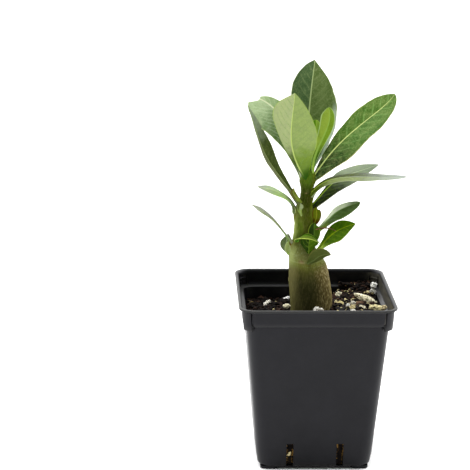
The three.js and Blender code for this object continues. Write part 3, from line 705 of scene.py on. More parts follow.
def makeBarkMaterial():
    # Colour by height: dark olive on the swollen part, a light band and grey-green speckles at its
    # shoulder, dark olive on the stem. Painted light from the sides: the -X side is paler, the +X edges
    # lighter and the +X side below tanned, partly a tan bark colour and partly painted light, and full
    # of short dashes. Joints and scars are brown.
    m = Mat("bark", Specular_IOR_Level=0.02)
    spot = m.spot()
    sideways = m.attribute("sideways")
    height = m.part(spot, 2) * 1000.0
    drift = m.noise(spot, 90.0, 3.0) - 0.5
    level = (height + drift * 6.0 - 80.0) / 92.0
    stops = [
        (0.0, "#282413"), (0.12, "#33321a"), (0.28, "#3b3c1d"), (0.35, "#4a491f"), (0.4, "#656b2a"),
        (0.44, "#696f3a"), (0.55, "#4c531a"), (0.68, "#434c0c"), (0.8, "#2b3604"), (0.87, "#303f05"),
        (0.93, "#47690f")]
    body = m.node("ShaderNodeValToRGB", {"stops": stops}, level)
    low = 1.0 - level.ramp(0.34, 0.42)
    shoulder = level.ramp(0.34, 0.44) * (1.0 - level.ramp(0.5, 0.56))
    high = level.ramp(0.66, 0.76)
    stem = level.ramp(0.52, 0.6)
    fine = m.noise(m.upright(spot, 0.5), 1500.0, 4.0, 0.6)
    dash = m.noise(m.upright(spot, 0.25), 1900.0, 1.0, 0.4)
    streak = m.noise(m.upright(spot, 0.12), 500.0, 3.0, 0.6)
    blotch = m.noise(m.upright(spot, 0.5), 160.0, 4.0, 0.65)
    cross = m.noise(m.vector(0.0, drift * 2.0, height), 0.9, 2.0)
    turned = sideways + drift * 0.5
    tan = turned.ramp(0.0, 0.75) * low
    pale = turned.ramp(-0.45, -0.95)
    joint = m.attribute("joint") * (1.0 - low)
    body = m.coats(
        body,
        # partly a tan bark colour, partly painted light: the +X side of the swollen part
        (tan * 0.7, "#66572f"),
        # painted highlight: the lit +X edge of the swollen part
        (turned.ramp(0.82, 1.0) * low * 0.6, "#9a8a5a"),
        # painted light: the -X side of the swollen part and of its shoulder paler
        (pale * low * 0.7, "#747042"),
        (pale * shoulder * 0.7, "#8f9c5a"),
        # painted light: the -X half of the stem lighter, its -X edge pale and its +X edge lighter
        (turned.ramp(0.2, -0.4) * stem * (0.85 - high * 0.75), "#566a1c"),
        (turned.ramp(-0.6, -0.92) * stem * (0.8 - high * 0.65), "#8f9c50"),
        (turned.ramp(0.4, 0.9) * stem * 0.8, "#6a7a1a"),
        (blotch.ramp(0.5, 0.72) * 0.12, "#7d7844"),
        (blotch.ramp(0.5, 0.28) * 0.3, "#1e200c"),
        (blotch.ramp(0.52, 0.7) * stem * (1.0 - high) * turned.ramp(-0.2, 0.4) * 0.3, "#4a3410"),
        (streak.ramp(0.5, 0.3) * 0.3, "#1c1c0c"),
        (dash.ramp(0.5, 0.62) * (0.06 + tan * 0.5), "#b3a672"),
        (fine.ramp(0.5, 0.75) * (0.02 + shoulder * 0.28), "#a9b080"),
        (cross.ramp(0.5, 0.65) * shoulder * 0.12, "#b4bc8c"),
        (joint * turned.ramp(-0.9, -0.5) * 0.3, "#4c4214"),
        (joint * turned.ramp(-0.6, -0.9) * 0.65, "#54481c"),
        (m.attribute("scar") * 0.6, "#98805a"))
    relief = fine * 0.4 + dash * 0.4 + blotch * 0.2 + cross * shoulder * 0.3
    return m.dress(Base_Color=body, Roughness=0.42 + fine * 0.2, Normal=m.bump(relief, 0.0003, 0.5))


def makeThread():
    # a dried bract between two of the right leaves: a thin tube along straight pieces smoothed by a
    # running mean
    bends = np.array([(-1.4, -4.5, 136.5), (1.8, -7.5, 138.3), (4.9, -9.5, 139.1), (8.2, -10.5, 139.1),
                      (11.2, -10.4, 137.4)])
    t = np.linspace(0, 4, 60)
    line = np.stack([np.interp(t, range(5), bends[:, k]) for k in range(3)], -1)
    for _ in range(8):
        line[1:-1] = (line[:-2] + line[1:-1] + line[2:]) / 3
    angle = np.linspace(0, 2 * np.pi, 10, endpoint=False)
    width = 0.5 - 0.25 * t / 4 + 0.15 * bell(t - 2.1, 0.25)
    ring = np.stack([0 * angle, np.cos(angle), np.sin(angle)], -1)
    rings = line[:, None, :] + ring[None] * width[:, None, None]
    m = Mat("dry_thread", Roughness=0.7, Specular_IOR_Level=0.2)
    tone = m.noise(m.spot(), 600.0, 3.0)
    material = m.dress(Base_Color=m.mix(tone.ramp(0.3, 0.7), "#3c2c14", "#7a5c34"))
    meshPiece("dry_thread", *ringSkin(rings, line[0], line[-1]), material, "bark")


makeTrunk()
makeThread()

# Pot

pot = {
    "height": 100.0, "rimHalf": 45.0, "collarHalf": 43.5, "earHalf": 44.1, "collarBottom": 89.5,
    "lipBottom": 98.3, "bodyTop": 41.0, "bodyBottom": 33.0, "rimCorner": 9.0, "bodyCorner": 8.0,
    "wall": 1.3, "rimWall": 2.3, "ledge": 90.6, "floor": 1.6, "edge": 3.4,
    "foot": 1.0, "footSize": 10.0, "footInset": 1.6, "footCorner": 2.5,
    "slotWidth": 4.0, "slotTop": 16.5, "slotOffset": 14.5, "slotFrom": 25.0, "slotTo": 40.0,
    "flare": 0.7,  # the collar widens by this much towards the lip
    "earEdge": 25.0,  # degrees into the corner's arc where the ear begins
    "grooveDepth": 0.9,
}


def bodyHalf(z):
    # half width of the tapering body at a height
    return pot["bodyBottom"] + (pot["bodyTop"] - pot["bodyBottom"]) * z / pot["collarBottom"]


def squareRing(half, corner, z, ear=0.0, groove=0.0, rise=0.0):
    # A square with rounded corners: straight stretches, then arcs of radius corner, with more points at
    # the edges of the ears. ear moves the corner out, groove cuts a channel beside it, rise lifts it.
    edge = pot["earEdge"]
    arc = np.concatenate([
        np.linspace(0, edge - 5, 4)[:-1], np.linspace(edge - 5, edge + 5, 13),
        np.linspace(edge + 5, 85 - edge, 9)[1:-1], np.linspace(85 - edge, 95 - edge, 13),
        np.linspace(95 - edge, 90, 4)[1:]])
    straight = np.linspace(-1, 1, 22)[1:-1] * (half - corner)
    inEar = ease(arc, edge - 0.5, edge + 1.0) * ease(90 - arc, edge - 0.5, edge + 1.0)
    cut = bell(arc - edge + 2.6, 1.9) + bell(90 - arc - edge + 2.6, 1.9)
    reach = corner + ear * inEar - groove * cut
    turned = np.radians(arc)
    arcX, arcY = half - corner + reach * np.cos(turned), half - corner + reach * np.sin(turned)
    quarterX = np.concatenate([np.full(len(straight), half), arcX])
    quarterY = np.concatenate([straight, arcY])
    lift = np.concatenate([np.zeros(len(straight)), rise * inEar])
    rows = [np.stack([*spin(quarterX, quarterY, turn), z + lift], -1)
            for turn in np.arange(4) * np.pi / 2]
    return np.concatenate(rows)


def makePotShell():
    # one closed profile carried round the square: base, wall, collar, lip, inner collar, ledge, inner
    # wall and floor. The slots are cut and the feet joined afterwards.
    p = pot
    top, lip, collar, foot = p["height"], p["lipBottom"], p["collarBottom"], p["foot"]
    rim, rimCorner, bodyCorner, wall = p["rimHalf"], p["rimCorner"], p["bodyCorner"], p["wall"]
    edge = p["edge"]
    rings, highlightShares, dustAndLight = [], [], []

    def ring(half, corner, z, worn=0.0, dusty=0.0, **extra):
        rings.append(squareRing(half, corner, z, **extra))
        highlightShares.append(worn)
        dustAndLight.append(dusty)

    for share in (0.3, 0.62, 0.86):
        ring((p["bodyBottom"] - edge) * share, (bodyCorner - edge) * share, foot)
    for turn in np.linspace(0, np.pi / 2, 7):
        inset = edge * (1 - np.sin(turn))
        ring(bodyHalf(foot) - inset, bodyCorner - inset, foot + edge * (1 - np.cos(turn)))
    for z in (8, 16, 26, 38, 50, 62, 74, 82, 87, collar):
        ring(bodyHalf(z), bodyCorner, z)
    ear, groove = p["earHalf"] - p["collarHalf"], p["grooveDepth"]
    low = p["collarHalf"] - p["flare"]
    ring(low - 0.6, rimCorner, collar + 0.05, ear=ear * 0.3, rise=-2.9, groove=0.5)
    # painted highlight along the collar's lower edge (the fourth number)
    ring(low - 0.1, rimCorner, collar + 0.3, 0.25, ear=ear * 0.8, rise=-2.9, groove=groove)
    ring(low, rimCorner, collar + 0.8, 0.12, ear=ear, rise=-2.6, groove=groove)
    for z in (92.0, 94.5, 96.8):
        half = low + p["flare"] * (z - collar) / (lip - collar)
        ring(half, rimCorner, z, ear=ear, rise=-1.5 * (97 - z) / 5, groove=groove)
    ring(p["collarHalf"], rimCorner, lip - 0.5, ear=ear, groove=0.4)
    inner, corner = rim - p["rimWall"], rimCorner - wall
    # the fourth number of each lip ring is its painted highlight, brightest on the lip's top
    for lipRing in (
            (p["collarHalf"] + 0.15, rimCorner, lip - 0.1, 0.1), (rim - 0.3, rimCorner, lip + 0.1, 0.2),
            (rim, rimCorner, lip + 0.35, 0.3), (rim, rimCorner, top - 0.5, 0.35),
            (rim - 0.1, rimCorner - 0.1, top - 0.18, 0.8), (rim - 0.35, rimCorner - 0.3, top, 1.0),
            (rim - 0.9, rimCorner - 0.6, top - 0.04, 0.6),
            (rim - 1.4, rimCorner - 0.9, top - 0.25, 0.1),
            (inner + 0.35, corner + 0.2, top - 0.7), (inner + 0.08, corner, top - 1.4)):
        ring(*lipRing)
    # dusty 1.0 on the inner wall's top, its stacking rings and the ledge's edge: painted light, which
    # only the right wall keeps
    for z in (98.0, 97.0):
        ring(inner, corner, z, dusty=1.0)
    for z, out in ((95.6, 0.0), (95.4, 0.5), (94.9, 0.5), (94.7, 0.0),
                   (93.4, 0.0), (93.2, 0.4), (92.8, 0.4), (92.6, 0.0)):
        ring(inner - 0.05, corner, z, ear=-out, dusty=1.0)
    ring(inner - 0.2, corner, p["ledge"] + 0.35, dusty=1.0)
    # painted highlight on the ledge and on the step below it (the fourth number)
    ring(inner - 0.4, corner, p["ledge"] + 0.1, 0.15)
    low = p["ledge"] - 0.5
    lowHalf = bodyHalf(low) - wall
    ring(lowHalf + 0.35, bodyCorner - wall, low + 0.2, 0.3)
    ring(lowHalf, bodyCorner - wall, low - 0.15, 0.15)
    ring(lowHalf, bodyCorner - wall, low - 0.6)
    for z in (85, 70, 50, 30, 16, 8, 4):
        ring(bodyHalf(z) - wall, bodyCorner - wall, z)
    bottom = foot + p["floor"]
    ring(bodyHalf(bottom) - wall - 0.4, bodyCorner - wall - 0.4, bottom)
    for share in (0.6, 0.3):
        ring(bodyHalf(bottom) * share, bodyCorner * share, bottom)
    rings = np.array(rings)
    points, faces = ringSkin(rings, [0, 0, foot], [0, 0, bottom])
    worn, dusty = (np.append(np.repeat(row, rings.shape[1]), [0, 0]) for row in (highlightShares, dustAndLight))
    values = {"worn": worn, "dusty": dusty * ease(points[:, 0], 34, 40)}  # painted light, kept on the right inner wall only
    return meshPiece("pot_shell", points, faces, makePlastic(), "dark_plastic", ("pot",), values)


def boxOf(x0, x1, y0, y1, z0, z1):
    # a box between two places along each axis
    corners = np.array([[x, y, z] for z in (z0, z1) for y in (y0, y1) for x in (x0, x1)], float)
    faces = [[0, 2, 3, 1], [4, 5, 7, 6], [0, 1, 5, 4], [2, 6, 7, 3], [0, 4, 6, 2], [1, 3, 7, 5]]
    return corners, faces


def cutPot(shell):
    # slots through all four walls, and a pad under each corner
    p = pot
    bottom = p["foot"] + p["floor"] - 0.4
    boxes = []
    for side in (-1, 1):
        for offset in (-p["slotOffset"], p["slotOffset"]):
            w = p["slotWidth"] / 2
            span = sorted((side * p["slotFrom"], side * p["slotTo"]))
            boxes.append(boxOf(offset - w, offset + w, *span, bottom, p["slotTop"]))
            boxes.append(boxOf(*span, offset - w, offset + w, bottom, p["slotTop"]))
    tools = []
    for kind, parts in (("DIFFERENCE", boxes), ("UNION", footPads())):
        points = np.concatenate([part[0] for part in parts])
        starts = np.cumsum([0] + [len(part[0]) for part in parts[:-1]])
        faces = [[index + int(start) for index in face]
                 for part, start in zip(parts, starts) for face in part[1]]
        mesh = bpy.data.meshes.new("cutter")
        mesh.from_pydata((points * mm).tolist(), [], faces)
        tool = place(mesh)
        change = shell.modifiers.new(kind, "BOOLEAN")
        change.operation, change.object, change.solver = kind, tool, "EXACT"
        tools.append(tool)
    cut = shell.evaluated_get(bpy.context.evaluated_depsgraph_get())
    solid = bpy.data.meshes.new_from_object(cut)
    shell.modifiers.clear()
    shell.data = solid
    for tool in tools:
        bpy.data.objects.remove(tool)
    solid.polygons.foreach_set("use_smooth", np.ones(len(solid.polygons), bool))
    solid.set_sharp_from_angle(angle=math.radians(35))
    print("pot made")


def footPads():
    # rounded pads: an extruded square outline with rounded corners and a small chamfer below
    p = pot
    pads = []
    half = p["footSize"] / 2
    stand = p["bodyBottom"] - p["footInset"] - half
    t = np.linspace(0, np.pi / 2, 6)
    corner = p["footCorner"]
    arc = half - corner + corner * np.cos(t), half - corner + corner * np.sin(t)
    outline = np.concatenate([np.stack(spin(*arc, turn), -1) for turn in np.arange(4) * np.pi / 2])
    top = p["foot"] + p["floor"] * 0.5
    for sx in (-1, 1):
        for sy in (-1, 1):
            middle = (sx * stand, sy * stand)
            rings = np.array([np.column_stack([outline * grow + middle, np.full(len(outline), z)])
                              for grow, z in ((0.96, 0.0), (1.0, 0.25), (1.0, top))])
            points, (quads, fans) = ringSkin(rings, (*middle, 0.0), (*middle, top))
            pads.append((points, quads.tolist() + fans.tolist()))
    return pads


def makePlastic():
    # moulded plastic: near black with a faint mottled sheen. The lip, the collar's lower edge and the
    # ledge are rougher and paler, the paler a painted highlight; painted light greys the right inner wall
    m = Mat("dark_plastic", Specular_IOR_Level=0.215, Specular_Tint=(0.92, 0.92, 1.0, 1.0))
    spot = m.spot()
    grain = m.noise(spot, 1400.0, 3.0, 0.6)
    cloud = m.noise(spot, 45.0, 4.0, 0.6)
    dustAndLight = m.noise(spot, 380.0, 5.0, 0.7)
    body = m.mix(cloud.ramp(0.35, 0.7), "#070708", "#0f0f11")
    worn = m.attribute("worn")
    body = m.coats(
        body,
        (dustAndLight.ramp(0.62, 0.8) * 0.1, "#5a574f"),
        # painted light: grey on the inner side of the right wall
        (m.attribute("dusty") * (0.6 + 0.4 * dustAndLight), "#504e46"),
        # painted highlight: paler on the lip, the collar's lower edge and the ledge
        (worn * (0.4 + 0.25 * dustAndLight), "#6c6c69"))
    rough = 0.3 + cloud * 0.1 + worn * 0.2
    relief = grain * 0.6 + dustAndLight * 0.4
    return m.dress(Base_Color=body, Roughness=rough, Normal=m.bump(relief, 0.00008, 0.5))


cutPot(makePotShell())

# Potting mix

mix = {
    "left": 82.5, "right": 89.5,  # heights of the surface at the sides
    "slope": 16.0, "forward": 0.4,
    "heaps": [(3.2, 31, 10, 40, 8), (1.8, 12, 4, 0, 10)],  # height, then place and width each way
    "around": 260, "rings": 110, "seed": 11,
    "clear": 0.35,  # room to the pot
    "wallTop": 78.0,  # the mix follows the pot's wall up to here
    "stemAt": 86.0,  # height at which the surface meets the trunk
    "half": 38.0, "level": 84.0,  # loose pieces lie in a square this wide, inside the wall at this height
    "spillFrom": (19, 36), "spillOver": (22, 5.5), "ledge": 90.8,  # crumbs heaped at the back right
}

# Loose pieces of the mix: count, least and greatest size, flatness, room to the wall, and how finely
# the ball is divided

loose = {
    "mix_clods": (220, 1.0, 2.0, 0.8, 2.6, 2),
    "mix_crumbs": (3800, 0.35, 1.15, 0.8, 0.6, 1),
    "mix_chips": (500, 0.8, 1.8, 0.4, 1.6, 1),
}


def mixHeight(x, y):
    # a smooth step from the left to the right, turned towards the front, plus lumps of two sizes
    middle, rise = (mix["left"] + mix["right"]) / 2, (mix["right"] - mix["left"]) / 2
    lumps = 0.7 * np.sin(0.43 * x + 1) * np.sin(0.37 * y + 2) + 0.35 * np.sin(0.9 * x + 0.8 * y)
    return middle + rise * np.tanh((x - mix["forward"] * y) / mix["slope"]) + lumps


def mound(x, y):
    # the mix is heaped up at the back right, over the ledge, and beside the trunk
    return sum(high * bell(x - atX, wide) * bell(y - atY, deep)
               for high, atX, wide, atY, deep in mix["heaps"])


def innerReach(angle, z):
    # distance from the middle to the pot's inner wall in a direction
    half = bodyHalf(z) - pot["wall"] - mix["clear"]
    corner = pot["bodyCorner"] - pot["wall"] - mix["clear"]
    x, y = np.abs(np.cos(angle)), np.abs(np.sin(angle))
    straight = half / np.maximum(x, y)
    centre = half - corner
    along = (x + y) * centre
    curved = along + np.sqrt(np.maximum(along ** 2 - 2 * centre ** 2 + corner ** 2, 0))
    return np.where(straight * np.minimum(x, y) <= centre, straight, curved)


def makeMix():
    # rings from the pot's floor up its wall, then in over the surface to the trunk. The surface is the
    # slope and the mound plus three sizes of ripples.
    angle = np.linspace(0, 2 * np.pi, mix["around"], endpoint=False)
    cos, sin = np.cos(angle), np.sin(angle)
    rings = []
    bottom = pot["foot"] + pot["floor"] + mix["clear"]
    for z in np.linspace(bottom, mix["wallTop"], 30):
        r = innerReach(angle, z) - 0.25 * np.abs(ripple(30 * cos, 30 * sin, z, 21, 8, 3))
        rings.append(np.stack([r * cos, r * sin, np.full_like(angle, z)], -1))
    outer = innerReach(angle, mix["stemAt"])
    stem = trunkCurve(mix["stemAt"], "radii") - 0.6
    middle = trunkCurve(mix["stemAt"], "centres")
    for share in np.linspace(0, 1, mix["rings"]):
        x = outer * cos * (1 - share) + (middle + stem * cos) * share
        y = outer * sin * (1 - share) + stem * sin * share
        z = mixHeight(x, y) + 0.5 * ripple(x, y, 0, 31, 9, 6) + 0.5 * ripple(x, y, 0, 32, 11, 2.6)
        z += 0.35 * ripple(x, y, 0, 33, 13, 1.2) - 0.3 + mound(x, y)
        rings.append(np.stack([x, y, z], -1))
    points, faces = ringSkin(np.array(rings), [0, 0, bottom], [middle, 0, mix["stemAt"] - 2])
    meshPiece("mix_bed", points, faces, makeMixMaterial("mix_bed"), "potting_mix", ("potting_mix",))


def scatter(random, count, gap):
    # places on the surface, even over the pot, clear of the trunk and gap + 0.8 or more from the wall
    x = random.uniform(-mix["half"], mix["half"], count * 3)
    y = random.uniform(-mix["half"], mix["half"], count * 3)
    free = np.hypot(x, y) < innerReach(np.arctan2(y, x), mix["level"]) - 0.8 - gap
    middle, radius = (trunkCurve(mix["stemAt"], key) for key in ("centres", "radii"))
    free &= np.hypot(x - middle, y) > radius + 0.5
    return x[free][:count], y[free][:count]


def lumpShape(levels):
    # a ball of triangles: an icosahedron whose faces are split in four, once less often than levels
    work = bmesh.new()
    bmesh.ops.create_icosphere(work, subdivisions=levels, radius=1.0)
    points = np.array([v.co[:] for v in work.verts])
    faces = np.array([[v.index for v in f.verts] for f in work.faces])
    work.free()
    return points, faces


def manyLumps(random, x, y, z, sizes, levels, rough):
    # copies of one ball, each stretched, turned and knocked out of shape by its own ripples
    ball, faces = lumpShape(levels)
    count = len(x)
    shape = np.repeat(ball[None], count, 0)
    for _ in range(3):
        way = random.normal(size=(count, 1, 3)) * 2.2
        waves = np.sin((ball[None] * way).sum(-1) + random.uniform(0, 6.28, (count, 1)))
        shape = shape * (1 + rough * waves)[..., None]
    shape = shape * sizes[:, None, :]
    turn = random.uniform(0, 2 * np.pi, count)[:, None]
    tip = random.normal(0, 0.35, count)[:, None]
    deep, high = spin(shape[..., 1], shape[..., 2], tip)
    wide, deep = spin(shape[..., 0], deep, turn)
    shape = np.stack([wide, deep, high], -1) + np.stack([x, y, z], -1)[:, None, :]
    index = (faces[None] + (np.arange(count) * len(ball))[:, None, None]).reshape(-1, 3)
    return shape.reshape(-1, 3), index, len(ball)


def makeCrumbs():
    # each kind is scattered over the surface, and a few more lie heaped on the ledge
    random = np.random.default_rng(mix["seed"])
    material = makeMixMaterial("crumbs", tones=True)
    for name, (count, low, high, flat, gap, levels) in loose.items():
        x, y = scatter(random, count, gap)
        spill = random.random((3, count // 25))
        x = np.append(x, mix["spillFrom"][0] + mix["spillOver"][0] * spill[0])
        y = np.append(y, mix["spillFrom"][1] + mix["spillOver"][1] * spill[1])
        size = random.uniform(low, high, len(x)) ** 1.3
        stretch = [random.uniform(0.8, 1.5, len(x)), random.uniform(0.6, 1.0, len(x)),
                   random.uniform(0.5, 1.0, len(x)) * flat]
        sizes = size[:, None] * np.stack(stretch, -1)
        z = mixHeight(x, y) + mound(x, y) + random.uniform(-0.3, 0.9, len(x)) + 0.15 * sizes[:, 2]
        z[-len(spill[2]):] = np.maximum(z[-len(spill[2]):], mix["ledge"] + 1.5 * spill[2])
        points, faces, each = manyLumps(random, x, y, z, sizes, levels, 0.3 if levels > 1 else 0.22)
        rare = random.uniform(0, 1, len(x)) ** (1.6 if levels > 1 else 1.0)
        tone = np.repeat(rare * np.where(x < -5, 0.86, 0.96), each)
        meshPiece(name, points, [faces], material, "potting_mix", values={"tone": tone}, smooth=False)


def makeMixMaterial(name, tones=False):
    # damp peat: nearly black, with lighter fibres. Loose pieces have a tone each, from dark to a few
    # light ones, and the bed shows broken golden edges low down, beside the slots.
    m = Mat(name, Specular_IOR_Level=0.1)
    spot = m.spot()
    coarse = m.noise(spot, 420.0, 5.0, 0.7)
    fine = m.noise(spot, 1500.0, 4.0, 0.65)
    body = m.mix(coarse.ramp(0.42, 0.75), "#070403", "#1e140c")
    if tones:
        tone = m.attribute("tone")
        body = m.coats(
            body,
            (tone.ramp(0.5, 0.9) * 0.8, "#38241a"),
            (tone.ramp(0.9, 0.94) * 0.8, "#5e4632"),
            (tone.ramp(0.965, 0.975), "#b39a5c"))
    else:
        low = 1.0 - m.part(spot, 2).ramp(0.018, 0.024)
        rim = abs(abs(m.part(spot, 0)) - 0.0145).ramp(0.0006, 0.0016)
        body = m.mix(coarse.ramp(0.5, 0.58) * low * rim, body, "#8a6a34")
    body = m.mix(fine.ramp(0.6, 0.8) * 0.25, body, "#6a4e2c")
    relief = coarse * 0.6 + fine * 0.4
    return m.dress(Base_Color=body, Roughness=0.72 + fine * 0.2, Normal=m.bump(relief, 0.0005, 0.7))


makeMix()
makeCrumbs()
print("potting mix made")

# Perlite: place on the mix, height of the middle above it, length, depth and height in mm, turn and
# tilt in degrees, colour

grains = [
    (-26.2, 23.5, 1.6, 6.5, 3.4, 3, 42, 14, "#fbf6ea"), (-14, 31.8, 0.9, 4.8, 3.2, 3, 35, 10, "#ffffff"),
    (-14.5, 14.6, 1.2, 5.4, 4.4, 4.6, 10, 0, "#fbf3d2"), (-35.5, 24.6, 0.9, 3, 2.8, 3, 0, 0, "#635846"),
    (12.6, 12.8, 0.6, 2.4, 2.2, 2.2, 0, 0, "#e0bf8e"), (17.6, 27.2, 0.7, 5.4, 5, 6, 15, 0, "#fbf6d8"),
    (32.3, 10.3, 1.6, 15.2, 5.8, 5.4, -28, -17, "#fff8d8"), (38, 25, 2.8, 4.6, 4, 8.8, 0, 0, "#fffffa"),
    (23.7, 3.5, 0.8, 3.9, 3.6, 4, 0, 0, "#f4f0e0"), (28.2, -7, 0.9, 4.8, 3.6, 3.6, 25, -10, "#fbf4d6"),
    (36, -10, 1.2, 9, 5, 5, -15, -8, "#f2e7b2"), (40.2, -14.6, 3.6, 3.8, 3.6, 3.2, 0, 0, "#e6d6a8"),
    (1.8, -15.4, 2.6, 6.4, 4, 5.8, 10, 0, "#fbf8ee"), (16.8, 5.9, 1, 5, 3.2, 3, 20, -6, "#e2d492"),
    (20, -4.8, 1.2, 3, 2.8, 3.8, 0, 0, "#efeee6"), (22, -13.9, 0.7, 3.8, 3, 3, 0, 0, "#fffef8"),
]


def popcorn(random, ball, size):
    # Spheres in a row along the longest side, and smaller ones in seeded places round it, seen from the
    # middle: each direction of the ball reaches to the furthest sphere that it meets, or to the nearest
    # of nine seeded planes that break the grain off. Where two spheres reach equally far there is a
    # crease, and raised grows with the distance from it.
    half = np.array(size) / 2
    small, longest = half.min(), int(half.argmax())
    row = np.zeros((max(2, int(half.max() / small * 3)), 3))
    row[:, longest] = np.linspace(-1, 1, len(row)) * (half[longest] - 0.85 * small)
    row += random.normal(0, 0.16 * small, row.shape)
    ways = unit(random.normal(size=(16 + 7 * len(row), 3)))
    ways = ways * (half - 0.25 * small) * random.uniform(0.8, 1.0, (len(ways), 1))
    centres = np.concatenate([row, ways])
    radii = [random.uniform(0.7, 0.9, len(row)), random.uniform(0.18, 0.42, len(ways))]
    radii = np.concatenate(radii) * small
    way = unit(ball * half)
    near = way @ centres.T
    room = radii ** 2 - (centres ** 2).sum(1) + near ** 2
    reach = np.where(room > 0, near + np.sqrt(np.maximum(room, 0)), 0.3 * small)
    reach.sort(1)
    raised = np.clip((reach[:, -1] - reach[:, -2]) / (0.2 * small), 0, 1)
    flats = unit(random.normal(size=(9, 3)))
    depth = random.uniform(0.7, 1.0, 9) * np.linalg.norm(flats * half, axis=1)
    cut = np.min(np.where(way @ flats.T > 0.05, depth / np.maximum(way @ flats.T, 0.05), 99), axis=1)
    points = way * np.minimum(reach[:, -1], cut)[:, None]
    seed = int(random.integers(99))
    knobs = ripple(*points.T, seed, 11, 1.5)
    grit = ripple(*points.T, seed + 1, 9, 0.7)
    points += way * (0.3 * knobs + 0.1 * grit)[:, None]
    middle = (points.max(0) + points.min(0)) / 2
    points = (points - middle) * (2 * half / np.ptp(points, axis=0))
    # raised shrinks in the hollows between knobs and on the lower part of the grain: there it is painted
    # shade with some brown
    raised = raised * ease(knobs, -0.9, -0.2) * (0.3 + 0.7 * ease(points[:, 2] / half[2], -0.9, -0.3))
    return points, raised


bits = {
    "count": 110, "size": (0.5, 1.25), "colour": "#cbbd8c",
    "more": 70, "moreFrom": (13.5, -20), "moreOver": (14, 34),  # closer together at the front right
    "inSlot": (-14.9, -32.3, 9.6), "inSlotSize": (1.1, 1.0, 1.7),  # one more shows in the left slot
    "seed": 5, "slotSeed": 8,
}


def makeGrain(name, random, ball, faces, grain):
    # one grain, shaped, turned about the vertical and tilted along its length
    x, y, above, long, deep, high, turn, tilt, colour = grain
    twin = high > 8  # two grains, one on the other
    shapes, marks = [], []
    for side in ((-1, 1) if twin else (0,)):
        shape, raised = popcorn(random, ball, (long, deep, high * 0.52 if twin else high))
        shapes.append(shape * (1 - 0.08 * side, 1, 1) + (side * 0.25, 0, side * high * 0.24))
        marks.append(raised)
    shape = np.concatenate(shapes)
    index = [faces + k * len(ball) for k in range(len(shapes))]
    tilted = shape[:, 2] + shape[:, 0] * math.tan(math.radians(tilt))
    shape = np.stack([*spin(shape[:, 0], shape[:, 1], math.radians(turn)), tilted], -1)
    shape = shape + (x, y, float(mixHeight(x, y)) + above)
    material = makePerliteMaterial(name, colour)
    raised = np.concatenate(marks)
    meshPiece(name + "_grain", shape, index, material, "perlite", (name,), {"raised": raised})


def makeBits():
    # small grains scattered over the mix, fewer of them on the left
    random = np.random.default_rng(bits["seed"])
    x, y = scatter(random, bits["count"], 1.0)
    more = random.random((2, bits["more"]))
    x = np.append(x, bits["moreFrom"][0] + bits["moreOver"][0] * more[0])
    y = np.append(y, bits["moreFrom"][1] + bits["moreOver"][1] * more[1])
    kept = (x > -2) | (random.random(len(x)) < 0.25)
    x, y = x[kept], y[kept]
    sizes = random.uniform(*bits["size"], len(x))[:, None] * np.array([1.1, 0.9, 0.8])
    z = mixHeight(x, y) + mound(x, y) + 0.6
    points, index, each = manyLumps(random, x, y, z, sizes, 2, 0.22)
    raised = np.repeat(random.uniform(0, 1, len(x)), each)
    inSlot, size = np.array(bits["inSlot"])[:, None], np.array([bits["inSlotSize"]])
    random = np.random.default_rng(bits["slotSeed"])
    more, moreIndex, each = manyLumps(random, *inSlot, size, 2, 0.2)
    faces = [index, moreIndex + len(points)]
    points, raised = np.concatenate([points, more]), np.append(raised, np.ones(each))
    material = makePerliteMaterial("perlite_bits", bits["colour"])
    meshPiece("perlite_bits", points, faces, material, "perlite", values={"raised": raised})


def makePerlite():
    ball, faces = lumpShape(5)
    for number, grain in enumerate(grains):
        makeGrain(f"perlite_{number + 1}", np.random.default_rng(200 + number), ball, faces, grain)
    makeBits()
    print("perlite made")


def makePerliteMaterial(name, colour):
    # puffed grains: pale, with brown stains and darker pits between the nodules; the lower part of each
    # grain is darker too, painted shade with some brown
    m = Mat(name, Specular_IOR_Level=0.3)
    spot = m.spot()
    fine = m.noise(spot, 1300.0, 5.0, 0.7)
    stain = m.noise(spot, 480.0, 3.0, 0.6)
    body = m.coats(
        colour,
        (stain.ramp(0.56, 0.68) * 0.6, "#8a7434"),
        # darker where raised is low: on the large grains in the pits and, as painted shade with some
        # brown, under each grain; on the small grains a random tone
        (m.attribute("raised").ramp(0.35, 0.0) * 0.85, "#3e3018"),
        (fine.ramp(0.4, 0.3) * 0.7, "#3e2e1c"))
    return m.dress(Base_Color=body, Roughness=0.85, Normal=m.bump(fine, 0.0004, 0.8))


makePerlite()

# Floor and light

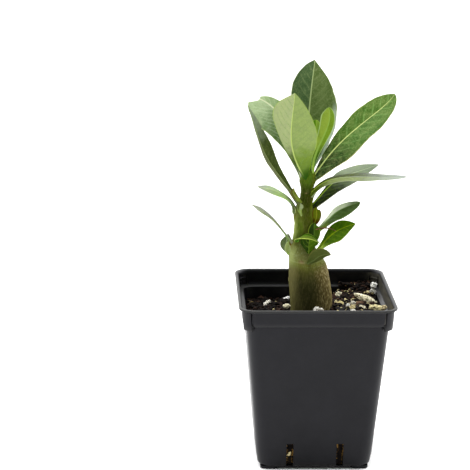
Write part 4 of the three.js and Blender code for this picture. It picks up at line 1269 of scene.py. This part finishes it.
studio = {
    "floor": 6.0,  # across. All lengths here are in metres.
    "front": 0.2,  # brightness of the room behind the camera
    "back": 1.0,
    "sky": 4.4, "skyAngle": 110.0, "skyFrom": (-0.03, 0.3, 1.0),
    "lamps": [((-0.8, 0.35, 0.35), 0.5, 2.0), ((0.85, 0.4, 0.3), 0.5, 1.5)],  # place, size, watts
    "aim": (0, 0, 0.13),  # where the lamps point
}


def makeFloor():
    s = studio["floor"] / 2
    mesh = bpy.data.meshes.new("floor")
    mesh.from_pydata([(-s, -s, 0.0), (s, -s, 0.0), (s, s, 0.0), (-s, s, 0.0)], [], [(0, 1, 2, 3)])
    floor = place(mesh)
    m = Mat("floor", Roughness=0.9, Specular_IOR_Level=0.1)
    cloud = m.noise(m.spot(), 3.0, 2.0)
    mesh.materials.append(m.dress(Base_Color=m.mix(cloud, "#fbfbfb", "#ffffff")))


def makeRoom():
    # white where the camera sees it, and as a light dim in front and bright behind and above
    world = bpy.data.worlds.new("studio")
    bpy.context.scene.world = world
    t = Tree(world)
    depth = t.node("ShaderNodeSeparateXYZ", {}, t.node("ShaderNodeTexCoord", {}), output=1)
    bright = depth.ramp(-0.8, 0.3, studio["front"], studio["back"])
    seen = t.node("ShaderNodeLightPath", {})
    background = t.tree.nodes["Background"]
    t.feed(background.inputs["Color"], (1, 1, 1, 1))
    t.feed(background.inputs["Strength"], bright.math("MAXIMUM", seen))


def addLight(name, kind, stand, energy, **settings):
    data = bpy.data.lights.new(name, kind)
    data.energy = energy
    for key, value in settings.items():
        setattr(data, key, value)
    lamp = place(data)
    lamp.location = stand
    way = Vector(studio["aim"]) - Vector(stand)
    lamp.rotation_euler = way.to_track_quat("-Z", "Y").to_euler()


def makeStudio():
    makeFloor()
    makeRoom()
    for stand, size, power in studio["lamps"]:
        addLight("lamp", "AREA", stand, power, size=size)
    wide = math.radians(studio["skyAngle"])
    addLight("sky", "SUN", studio["skyFrom"], studio["sky"], angle=wide)
    settings = bpy.context.scene.view_settings
    settings.view_transform, settings.look = "Standard", "None"


makeStudio()
print("studio made")
